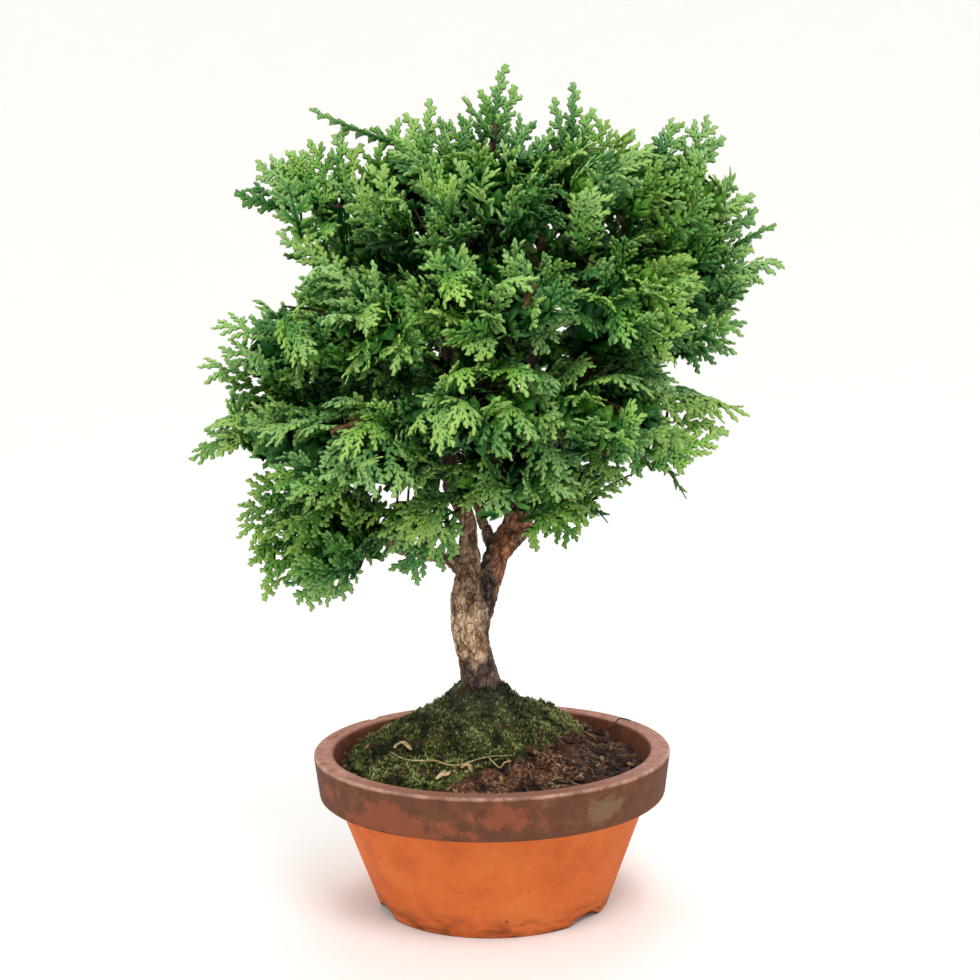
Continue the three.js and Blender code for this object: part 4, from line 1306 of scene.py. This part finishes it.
def soil_top(ground):
    """The soil's top as rings round its middle: its points with their lumps, its faces and its outer ring."""
    rings = round(SOIL["edge"] / SOIL["cell"])
    points, faces, row = [(0, 0)], [], [0]
    for ring in range(1, rings + 1):
        new = list(range(len(points), len(points) + 6 * ring))
        points += circle(SOIL["edge"] * ring / rings, 6 * ring).tolist()
        faces += ring_faces(row, new)
        row = new
    level = [surface_height(ground, x, y) or SOIL["level"] for x, y in points]
    place = np.column_stack([points, level])
    lump = rough(place, SOIL["lump_size"], 5, 2)
    place[:, 2] += SOIL["rough"] * lump - 0.25
    return place, lump, faces, row


def add_soil(ground):
    """Potting soil: a rough closed lump that fills the pan, with crumbs and fibres on top."""
    rng = np.random.default_rng(21)
    place, lump, faces, row = soil_top(ground)
    under = PAN["floor_top"] + SOIL["under"]
    skirt = (
        (PAN["body_radius"] - PAN["wall"] - 1, PAN["height"] - PAN["band_height"]),
        (PAN["floor_radius"] + 1, under + 2),
        (PAN["floor_radius"] - 0.5, under),
    )
    for radius, height in skirt:
        new = list(range(len(place), len(place) + len(row)))
        ring = np.column_stack([circle(radius, len(row)), np.full(len(row), height)])
        place = np.concatenate([place, ring])
        sides = list(zip(neighbours(row), neighbours(new)))
        faces += [(b, a, c) for (a, b), (c, _) in sides]
        faces += [(b, c, d) for (_, b), (c, d) in sides]
        row = new
    place = np.concatenate([place, [[0, 0, under]]])
    faces += [(b, a, len(place) - 1) for a, b in neighbours(row)]
    lump = np.concatenate([lump, np.zeros(len(place) - len(lump))])
    shape = Shape("lump", "crumb")
    shape.add(place, triangles=np.array(faces), lump=lump)
    for _ in range(SOIL["crumbs"]):
        add_crumb(shape, ground, rng)
    for _ in range(SOIL["fibres"]):
        add_fibre(shape, ground, rng)
    shape.piece("potting_soil", soil_material(), "soil", "soil")


def ring_faces(inner, outer):
    """Triangles between two rings of points that share a start."""
    if len(inner) == 1:
        return [(inner[0], a, b) for a, b in neighbours(outer)]
    inner_keys, outer_keys = (np.arange(len(ring) + 1) / len(ring) for ring in (inner, outer))
    faces = stitched(outer + outer[:1], outer_keys, inner + inner[:1], inner_keys)
    return [tuple(face[::-1]) for face in faces]


def soil_place(ground, rng):
    """A random place on the soil's surface."""
    while True:
        x, y = rng.uniform(-SOIL["spread"], SOIL["spread"], 2)
        if math.hypot(x, y) < SOIL["spread"]:
            height = surface_height(ground, x, y)
            if height is not None:
                return np.array([x, y, height])


def add_crumb(shape, ground, rng):
    """One angular crumb of soil or bark."""
    place = soil_place(ground, rng)
    least, more = SOIL["crumb_size"]
    size = least + more * rng.random() ** 2
    turn = Matrix.Rotation(rng.uniform(0, 6.3), 3, Vector(unit(rng.normal(0, 1, 3))))
    ball, faces = BALL
    points = ball * (1 + 0.34 * rng.normal(0, 1, (len(ball), 1))) * rng.uniform(0.45, 1.3, 3) * size
    points = points @ np.array(turn).T + place + UP * size * 0.2
    shape.add(points, triangles=faces, lump=rng.uniform(-0.6, 0.9), crumb=rng.choice(**CRUMB_TONES))


def rough_ball():
    """The points and triangles of a ball of 20 faces."""
    work = bmesh.new()
    bmesh.ops.create_icosphere(work, subdivisions=1, radius=1.0)
    points = np.array([vertex.co[:] for vertex in work.verts])
    faces = np.array([[vertex.index for vertex in face.verts] for face in work.faces])
    work.free()
    return points, faces


BALL = rough_ball()


def add_fibre(shape, ground, rng):
    """One thin bent root or fibre lying on the soil."""
    start, heading = soil_place(ground, rng), rng.uniform(0, 2 * math.pi)
    line = [start]
    for _ in range(3):
        heading += rng.normal(0, 0.5)
        x, y = line[-1][:2] + rng.uniform(1.0, 2.6) * np.array([math.cos(heading), math.sin(heading)])
        height = surface_height(ground, x, y)
        if height is None or math.hypot(x, y) > SOIL["edge"] - 1:
            break
        line.append(np.array([x, y, height + rng.uniform(0.1, 0.9)]))
    if len(line) > 2:
        radius = rng.uniform(*SOIL["fibre_radius"])
        points, quads, triangles = tube(line, [radius] * len(line))
        shape.add(points, quads, triangles, lump=rng.uniform(-0.3, 0.8), crumb=rng.choice([0.2, 0.6, 1.0]))


def soil_material():
    """Dark moist soil with fibres and painted shade in its hollows, and crumbs from near black to reddish
    brown and straw.
    """
    paint = Paint("potting_soil", Roughness=0.9, Specular_IOR_Level=0.25)
    grain = paint.noise(1.3, 6, 0.7)
    earth = paint.ramp(grain, (0.37, 6, 4, 4), (0.47, 48, 33, 24), (0.56, 134, 96, 69), (0.66, 208, 160, 124))
    crumb = paint.attribute("crumb")
    tint = paint.ramp(crumb, (0.2, 26, 18, 16), (0.5, 84, 54, 38), (0.8, 120, 84, 60), (1.0, 176, 146, 110))
    right = paint.band(paint.axis("X"), 0.022, 0.038)
    colour = paint.layers(
        earth,
        (paint.times(paint.band(paint.noise(14, 3), 0.45, 0.62), 0.5), (96, 58, 40)),
        (paint.times(right, paint.band(paint.noise(9, 3), 0.38, 0.54, 0.0, 0.8)), (32, 24, 28)),
        # Painted shade in the soil's hollows, where its lumps are low
        (paint.band(paint.attribute("lump"), -0.45, 0.2, 0.95, 0.0), (22, 14, 16)),
        (paint.band(crumb, 0.0, 0.1, 0.0, 0.75), tint),
    )
    paint.to("Base Color", colour)
    paint.to("Normal", paint.bump(grain, 0.6, 0.9))
    return paint.material


def moss_sheet(ground, moss, low, high):
    """The moss as a grid with a rim under the soil: points, quads and how many points aren't the rim's."""
    cell = MOSS["cell"]
    xs, ys = (np.arange(low[axis] - 1, high[axis] + 1, cell) for axis in (0, 1))
    heights = {}
    for column, x in enumerate(xs):
        for row, y in enumerate(ys):
            height = surface_height(moss, x, y)
            if height is not None:
                heights[column, row] = height
    inner, near = len(heights), (-1, 0, 1)
    rim = {(c + a, r + b) for c, r in heights for a in near for b in near} - set(heights)
    for column, row in sorted(rim):
        level = surface_height(ground, xs[0] + column * cell, ys[0] + row * cell) or SOIL["level"]
        heights[column, row] = level - MOSS["sunk"]
    points = [(xs[0] + c * cell, ys[0] + r * cell, height) for (c, r), height in heights.items()]
    index = {place: number for number, place in enumerate(heights)}
    quads = []
    for column, row in index:
        corners = [(column, row), (column + 1, row), (column + 1, row + 1), (column, row + 1)]
        if all(corner in index for corner in corners):
            quads.append([index[corner] for corner in corners])
    return np.array(points), np.array(quads), inner


def add_moss(ground, moss):
    """The moss: a lumpy sheet that sinks into the soil at its edge and climbs the trunk, with many tufts."""
    rng = np.random.default_rng(22)
    low, high = (np.array(corner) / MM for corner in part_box("moss_carpet"))
    points, quads, inner = moss_sheet(ground, moss, low, high)
    lump = rough(points, MOSS["lump_size"], 4, 3)
    points[:, :2] += 0.45 * rng.normal(0, 1, (len(points), 2)) * MOSS["cell"] * 0.5
    points[:inner, 2] += MOSS["lumps"] * lump[:inner] - 0.6
    wood = node_points("trunk_and_branches")
    foot = wood[(wood[:, 2] > high[2] - 4) & (wood[:, 2] < high[2] + 4)].mean(axis=0)
    away = np.hypot(*(points - foot)[:, :2].T)
    points[:, 2] += MOSS["collar"] * smooth(MOSS["collar_radius"], MOSS["collar_radius"] / 2, away)
    shape = Shape("lump", "tip", "tone")
    shape.add(points, quads, lump=lump)
    for place in points[rng.integers(inner, size=MOSS["tufts"])]:
        add_tuft(shape, place + rng.uniform(-0.6, 0.6, 3) * (1, 1, 0.3), rng)
    shape.piece("moss", moss_material(), "moss", "moss_carpet")


def add_tuft(shape, place, rng):
    """One leafy shoot of moss: a small leaning spike."""
    height, width = rng.uniform(*MOSS["tuft_height"]), rng.uniform(*MOSS["tuft_width"])
    lean = np.array([*rng.normal(0, 0.55, 2), 1.0])
    turns = rng.uniform(0, 2) + np.arange(3) * 2 * math.pi / 3
    base = np.column_stack([np.cos(turns), np.sin(turns), 0 * turns]) * width
    points = np.concatenate([place + base - UP * 0.3, [place + unit(lean) * height]])
    faces = np.array([[0, 1, 3], [1, 2, 3], [2, 0, 3], [0, 2, 1]])
    shape.add(points, triangles=faces, tip=np.array([0.0, 0, 0, 1]), tone=rng.uniform(-1, 1), lump=0.3)


def moss_material():
    """Moss: duller on the mound's top, a little darker at its left, and brown in patches."""
    paint = Paint("moss", Roughness=0.85, Specular_IOR_Level=0.25)
    value = paint.plus(
        paint.band(paint.noise(11, 4, 0.6), 0.28, 0.72, 0.14, 0.98),
        paint.band(paint.attribute("tone"), -1, 1, -0.22, 0.22),
        paint.band(paint.attribute("tip"), 0, 1, -0.2, 0.26),
        paint.band(paint.axis("X"), -0.030, -0.010, -0.06, 0.06),
    )
    bright = paint.ramp(
        value,
        (0.2, 20, 26, 4),
        (0.4, 48, 57, 20),
        (0.55, 78, 88, 38),
        (0.7, 114, 121, 62),
        (0.95, 178, 178, 118),
    )
    dull = paint.ramp(value, (0.2, 20, 26, 12), (0.45, 48, 54, 37), (0.65, 78, 85, 60), (0.95, 128, 132, 104))
    colour = paint.layers(
        bright,
        (paint.times(paint.band(paint.axis("Z"), 0.066, 0.078), 0.8), dull),
        (paint.band(paint.noise(6, 4, 0.6), 0.54, 0.64, 0.0, 0.65), (74, 56, 38)),
    )
    paint.to("Base Color", colour)
    paint.to("Normal", paint.bump(paint.noise(0.8, 4, 0.7), 0.5, 0.8))
    return paint.material


# ---------------------------------------------------------------- wood

BARK = {
    "split": 164.0,  # level under which the wood has fissures
    "fade": (172, 150),  # levels over which they begin, going down
    "voxel": 0.66,
    "fissure": 0.5,
    "plate": 3.8,
    "tall": 0.36,  # a plate's width as a share of its height
}

# Patches on the trunk's front: x, height, radius and strength
# The dark patches are painted shade in the hollows between the stems
DARK_PATCHES = (
    (-0.5, 118.5, 3.6, 1.0),
    (0.2, 112.5, 3.4, 0.8),
    (-0.8, 105.5, 2.4, 0.8),
    (-1.0, 127.0, 3.0, 0.7),
    (1.0, 135.0, 2.6, 0.7),
    (12.0, 132.5, 1.8, 0.9),
    (19.0, 146.0, 3.0, 0.6),
    (1.0, 98.0, 2.4, 0.6),
    (0.4, 101.0, 1.8, 0.9),
)
PALE_PATCHES = (
    (-9.5, 104.0, 4.5, 1.0),
    (-4.0, 106.0, 4.0, 1.0),
    (-8.5, 97.0, 4.5, 0.9),
    (-5.0, 93.5, 3.5, 0.7),
    (-3.5, 110.0, 2.5, 0.8),
    (-10.0, 112.5, 1.5, 1.0),
    (15.0, 136.0, 3.0, 0.7),
)
RED_PATCHES = (
    (7.0, 135.0, 6.0, 1.0),
    (5.0, 127.0, 5.0, 1.0),
    (12.0, 141.0, 5.0, 0.8),
    (4.5, 119.0, 5.0, 0.9),
    (3.0, 109.0, 4.0, 0.7),
    (-3.0, 97.0, 3.2, 0.35),
)
# Pale knots: x, y, z and radius
KNOTS = ((-9.9, -5.3, 112.2, 0.5), (-10.3, -5.4, 109.3, 0.45), (-7.2, -6.5, 101.8, 0.35))


def cut_mesh(points, triangles, level, keep_above):
    """The part of a mesh above or below a level, closed where it is cut."""
    work = bmesh.new()
    vertices = [work.verts.new(point) for point in points]
    for face in triangles:
        work.faces.new([vertices[index] for index in face])
    bmesh.ops.remove_doubles(work, verts=work.verts, dist=0.001)
    cut = bmesh.ops.bisect_plane(
        work,
        geom=[*work.verts, *work.edges, *work.faces],
        plane_co=(0, 0, level),
        plane_no=(0, 0, 1),
        clear_outer=not keep_above,
        clear_inner=keep_above,
    )
    edges = [item for item in cut["geom_cut"] if isinstance(item, bmesh.types.BMEdge)]
    bmesh.ops.holes_fill(work, edges=edges)
    mesh = bpy.data.meshes.new("wood_part")
    work.to_mesh(mesh)
    work.free()
    return mesh


def remeshed(mesh, voxel):
    """A mesh rebuilt from even cells of the given size."""
    made = in_scene("remesh", mesh)
    step = made.modifiers.new("remesh", "REMESH")
    step.mode, step.voxel_size, step.use_smooth_shade = "VOXEL", voxel, True
    result = bpy.data.meshes.new_from_object(made.evaluated_get(bpy.context.evaluated_depsgraph_get()))
    bpy.data.objects.remove(made)
    return result


def mesh_arrays(mesh):
    """A mesh's points, normals and faces of 3 and 4 corners."""
    points, normals = np.zeros(len(mesh.vertices) * 3), np.zeros(len(mesh.vertices) * 3)
    mesh.vertices.foreach_get("co", points)
    mesh.vertices.foreach_get("normal", normals)
    faces = [tuple(face.vertices) for face in mesh.polygons]
    quads = np.array([face for face in faces if len(face) == 4], int).reshape(-1, 4)
    triangles = np.array([face for face in faces if len(face) == 3], int).reshape(-1, 3)
    return points.reshape(-1, 3), normals.reshape(-1, 3), quads, triangles


def bark_relief(points):
    """How far bark stands out at each point, from -1 in a fissure to 1 on a plate."""
    turns = np.column_stack([rough(points, 5, 3, seed) for seed in (6, 7, 8)]) * 1.5
    bent = (points + turns) * (1, 1, BARK["tall"]) / BARK["plate"]
    nearest = np.array([noise.voronoi(Vector(point))[0][:2] for point in bent])
    plates = smooth(0.0, 0.2, nearest[:, 1] - nearest[:, 0])
    lumps = rough(points * (1, 1, 0.7), 3.4, 4, 9)
    return np.clip(1.3 * plates - 0.8 + 0.75 * lumps, -1, 1)


def patches(points, rows):
    """How strongly a list of patches covers each point, with ragged edges."""
    ragged = 0.35 * rough(points * (1, 1, 0.5), 2.4, 4, 31)
    cover = np.zeros(len(points))
    for x, height, radius, strength in rows:
        off = np.hypot(points[:, 0] - x, 0.8 * (points[:, 2] - height)) / radius
        cover = np.maximum(cover, strength * smooth(1.25, 0.75, off + ragged))
    return cover


def add_wood():
    """The tree's wood, with fissured bark on its trunk and stems."""
    points, triangles = node_points("trunk_and_branches"), node_triangles("trunk_and_branches")
    lower = remeshed(cut_mesh(points, triangles, BARK["split"], False), BARK["voxel"])
    shape = Shape("relief", "dark", "pale", "red")
    place, normals, quads, faces = mesh_arrays(lower)
    relief = bark_relief(place)
    depth = BARK["fissure"] * smooth(*BARK["fade"], place[:, 2])
    place = place + normals * (depth * relief - 0.1)[:, None]
    dark, pale, red = (patches(place, rows) for rows in (DARK_PATCHES, PALE_PATCHES, RED_PATCHES))
    shape.add(place, quads, faces, relief=relief, dark=dark, pale=pale, red=red)
    place, _, quads, faces = mesh_arrays(cut_mesh(points, triangles, BARK["split"] - 1, True))
    shape.add(place, quads, faces, relief=0.2)
    shape.piece("bark", bark_material(), "bark", "trunk_and_branches")


def bark_value(paint):
    """How light the bark is, from 0 to 1: by its relief, its grain and its pale patches."""
    return paint.plus(
        paint.band(paint.attribute("relief"), -0.7, 0.4, 0.28, 0.58),
        paint.band(paint.noise(0.6, 5, 0.7, (1, 1, 2.0)), 0.34, 0.66, -0.2, 0.22),
        paint.band(paint.noise(3.0, 3, 0.6, (1, 1, 2.0)), 0.34, 0.66, -0.14, 0.14),
        paint.times(paint.attribute("pale"), 0.26),
    )


def damp_foot(paint):
    """1 on the wood's foot, which ends at a ragged level, higher at its left, and 0 above."""
    level = paint.plus(paint.axis("Z"), paint.band(paint.noise(4, 3), 0.3, 0.7, -0.0015, 0.0015))
    level = paint.math("SUBTRACT", level, paint.band(paint.axis("X"), -0.006, 0.002, 0.0, 0.005))
    return paint.band(level, 0.0885, 0.0905, 0.9, 0.0)


def bark_material():
    """Grey-brown bark with pale plates and dark fissures, redder at its right and purplish at its foot, with
    painted shade in the hollows between the stems and on the wood inside the crown.
    """
    paint = Paint("bark", Roughness=0.82, Specular_IOR_Level=0.3)
    value = bark_value(paint)
    plain = paint.ramp(
        value,
        (0.1, 26, 18, 15),
        (0.3, 90, 66, 51),
        (0.5, 148, 117, 92),
        (0.74, 190, 156, 124),
        (0.95, 236, 208, 176),
    )
    reddish = paint.ramp(
        value,
        (0.1, 40, 20, 14),
        (0.35, 112, 66, 44),
        (0.6, 160, 102, 70),
        (0.9, 214, 156, 112),
    )
    hollow_shade = paint.ramp(value, (0.1, 16, 12, 12), (0.5, 62, 50, 46), (0.95, 150, 126, 110))
    shaded = paint.ramp(value, (0.1, 20, 16, 14), (0.5, 62, 48, 40), (0.9, 104, 84, 68))
    damp = paint.ramp(value, (0.1, 26, 18, 19), (0.45, 78, 58, 54), (0.9, 144, 118, 108))
    crack = paint.band(paint.cells(3.0, "DISTANCE_TO_EDGE", (1, 1, 1.8), 1.6), 0.0, 0.06, 0.85, 0.0)
    colour = paint.layers(
        plain,
        (paint.times(paint.attribute("red"), 0.85), reddish),
        # Painted shade in the hollows between the stems
        (paint.attribute("dark"), hollow_shade),
        (paint.band(paint.axis("Z"), 0.142, 0.160, 0.0, 0.85), shaded),
        (damp_foot(paint), damp),
        (crack, (40, 28, 24)),
    )
    paint.to("Base Color", paint.spots(colour, KNOTS, (240, 218, 190)))
    lifted = paint.math("SUBTRACT", paint.noise(0.7, 5, 0.7, (1, 1, 2.5)), crack)
    paint.to("Normal", paint.bump(lifted, 0.4, 0.9))
    return paint.material


# ---------------------------------------------------------------- debris

# Lines on the ground, as places seen from above, and the twig at the rim, as points
DRY_STEM = (
    (
        (-36.4, -17.1), (-33.6, -22.6), (-31.1, -25.5), (-27.4, -28.4), (-23.9, -30.5), (-20.1, -31.5),
        (-15.4, -34.3), (-10.8, -35.3), (-6, -33.5), (-2.8, -32.1), (1, -30.9), (7.1, -28.5),
    ),
    ((-1.5, -31.6), (2.8, -34.5), (4.2, -32), (6.6, -30.8)),
)
DRY_LEAF = (((-34.9, -16.6), (-33.6, -15.4), (-31.8, -16.2), (-30.4, -18.9), (-28.6, -22.6)),)
DRY_FLAKES = (
    ((-19.4, -40.6), (-18.3, -39.4), (-17.0, -37.6), (-16.2, -36.0)),
    ((-16.9, -39.2), (-15.6, -38.6), (-14.8, -37.2)),
    ((-10.8, -36.2), (-9.4, -35.2), (-7.8, -35.6), (-7.2, -36.8)),
)
LIFT = {"stem": 1.4, "flakes": 1.3, "leaf": 1.5}  # over the ground, to a line's middle
RIM_TWIG = (
    (
        (42.8, 28.6, 53.5), (46, 31, 56.6), (48.8, 33, 59),
        (51.6, 34.2, 58.2), (53.4, 34, 57.6), (53, 33.6, 55.2),
    ),
    ((46, 31, 56.6), (48.4, 31.6, 56.2), (50.6, 32.6, 54.4)),
    ((44.2, 29.6, 55.2), (46, 28.6, 57.2), (49, 28.8, 57.4)),
)


def ground_line(ground, line, lift):
    """A line of places at a height over the ground."""
    return [(x, y, surface_height(ground, x, y) + lift) for x, y in line]


def bent_tube(line, thick, flat):
    """A closed tube along a line with softened bends, thinner at its ends."""
    line = np.array(line, float)
    dense = np.linspace(0, len(line) - 1, 4 * len(line))
    line = np.column_stack([np.interp(dense, range(len(line)), line[:, axis]) for axis in range(3)])
    line[1:-1] = (line[:-2] + line[1:-1] + line[2:]) / 3
    swell = 0.45 + 0.55 * np.sin(np.linspace(0, math.pi, len(line)))
    return tube(line, thick * swell * (1 + 0.2 * wobble(line, 3, 41)), 6, flat)


def debris_piece(name, lines, material, slot, node):
    """Dead bits as bent tubes. Each is its line, its thickness and how flat it is."""
    shape = Shape()
    for line, thick, flat in lines:
        shape.add(*bent_tube(line, thick, flat))
    shape.piece(name, material, slot, node)


def plain_paint(name, roughness, lumps, stops, grain, depth):
    """A material with one colour ramp over noise and a fine grain. lumps and grain are a noise's settings."""
    paint = Paint(name, Roughness=roughness)
    paint.to("Base Color", paint.ramp(paint.noise(*lumps), *stops))
    paint.to("Normal", paint.bump(paint.noise(*grain), depth))
    return paint.material


def add_debris(ground):
    """The dry stem, the dry leaf and the twig at the rim."""
    straw_tones = ((0.3, 138, 110, 72), (0.55, 196, 170, 124), (0.75, 226, 206, 166))
    straw = plain_paint("dry_straw", 0.7, (2.5, 4, 0.6), straw_tones, (0.5, 3), 0.15)
    stem = [(ground_line(ground, line, LIFT["stem"]), 0.28, 1.0) for line in DRY_STEM]
    stem += [(ground_line(ground, line, LIFT["flakes"]), 1.1, 0.35) for line in DRY_FLAKES]
    debris_piece("dry_stalk", stem, straw, "dry_straw", "dry_stem")
    leaf = [(ground_line(ground, line, LIFT["leaf"]), 1.15, 0.4) for line in DRY_LEAF]
    debris_piece("dry_blade", leaf, straw, "dry_straw", "dry_leaf")
    dead_tones = ((0.3, 34, 24, 22), (0.7, 88, 64, 50))
    dead = plain_paint("dead_twig", 0.85, (1.2, 5, 0.7), dead_tones, (0.8, 4), 0.3)
    debris_piece("dead_twigs", [(line, 0.3, 1.0) for line in RIM_TWIG], dead, "dead_twig", "rim_twig")


def paint_net():
    """Gives the net over the drain hole its dark plastic."""
    tones = ((0.3, 30, 34, 30), (0.7, 48, 52, 48))
    plastic = plain_paint("mesh_plastic", 0.55, (2, 3), tones, (0.6, 3), 0.1)
    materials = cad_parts["drainage_mesh"].data.materials
    materials.clear()
    materials.append(plastic)


# ---------------------------------------------------------------- scene


def add_camera():
    """The camera, where the picture was taken from."""
    data = bpy.data.cameras.new("camera")
    data.sensor_width = CAMERA["sensor"]
    data.lens = CAMERA["sensor"] * CAMERA["focal_pixels"] / PIXELS
    data.clip_start = 0.01
    data.clip_end = 20
    camera = in_scene("camera", data)
    level = Matrix.Rotation(math.radians(90 - CAMERA["down"]), 4, "X")
    roll = Matrix.Rotation(math.radians(CAMERA["roll"]), 4, "Z")
    camera.matrix_world = Matrix.Translation(Vector(CAMERA["place"]) * MM) @ level @ roll
    bpy.context.scene.camera = camera


LIGHTS = (  # name, place and side in metres, and power
    ("key", (0.35, -0.95, 1.5), 0.8, 14.0),
    ("fill", (-1.2, -0.8, 0.7), 1.0, 3.2),
    ("top", (0.0, 0.5, 1.6), 0.9, 8.5),
)
# The floor's size in metres, the sky's strength and the place that the lights face
STUDIO = {"radius": 2.2, "corner": 0.9, "height": 2.4, "sectors": 96, "sky": 0.7, "aim": (0, 0, 0.15)}


def add_lights():
    """Soft studio light from above the front, with a fill at the left and a light behind."""
    for name, place, side, power in LIGHTS:
        data = bpy.data.lights.new(name, "AREA")
        data.size, data.energy = side, power
        light = in_scene(name, data)
        light.location = place
        light.rotation_euler = (Vector(STUDIO["aim"]) - light.location).to_track_quat("-Z", "Y").to_euler()
    world = bpy.data.worlds.new("studio")
    world.use_nodes = True
    world.node_tree.nodes["Background"].inputs["Color"].default_value = (1.0, 1.0, 1.0, 1.0)
    world.node_tree.nodes["Background"].inputs["Strength"].default_value = STUDIO["sky"]
    bpy.context.scene.world = world
    bpy.context.scene.view_settings.view_transform = "Standard"


def add_floor():
    """A plain pale floor, which curves up into a wall all round."""
    corner, flat = STUDIO["corner"], STUDIO["radius"] - STUDIO["corner"]
    bend = np.linspace(0, math.pi / 2, 17)
    rise = np.column_stack([flat + corner * np.sin(bend), corner - corner * np.cos(bend)])
    # The bend's start is there twice, so that the floor's smooth shading stays level up to it
    outline = np.concatenate([[[flat, 0]], rise, [[STUDIO["radius"], STUDIO["height"]]]])
    points, quads = turned(outline, STUDIO["sectors"])
    middle = [[len(points), *pair] for pair in quads[:, 0, :2].tolist()]
    walls = quads[:, :-1, ::-1].reshape(-1, 4).tolist()
    mesh = bpy.data.meshes.new("floor")
    mesh.from_pydata([*points.tolist(), (0, 0, 0)], [], middle + walls)
    mesh.shade_smooth()
    mesh.materials.append(Paint("floor", Roughness=0.9, Base_Color=linear(250, 249, 247)).material)
    in_scene("floor", mesh)


add_camera()
add_lights()
add_floor()
GROUND = search_tree("soil")
add_pan()
add_soil(GROUND)
add_moss(GROUND, search_tree("moss_carpet"))
add_wood()
add_debris(search_tree("soil", "moss_carpet"))
paint_net()
add_foliage()
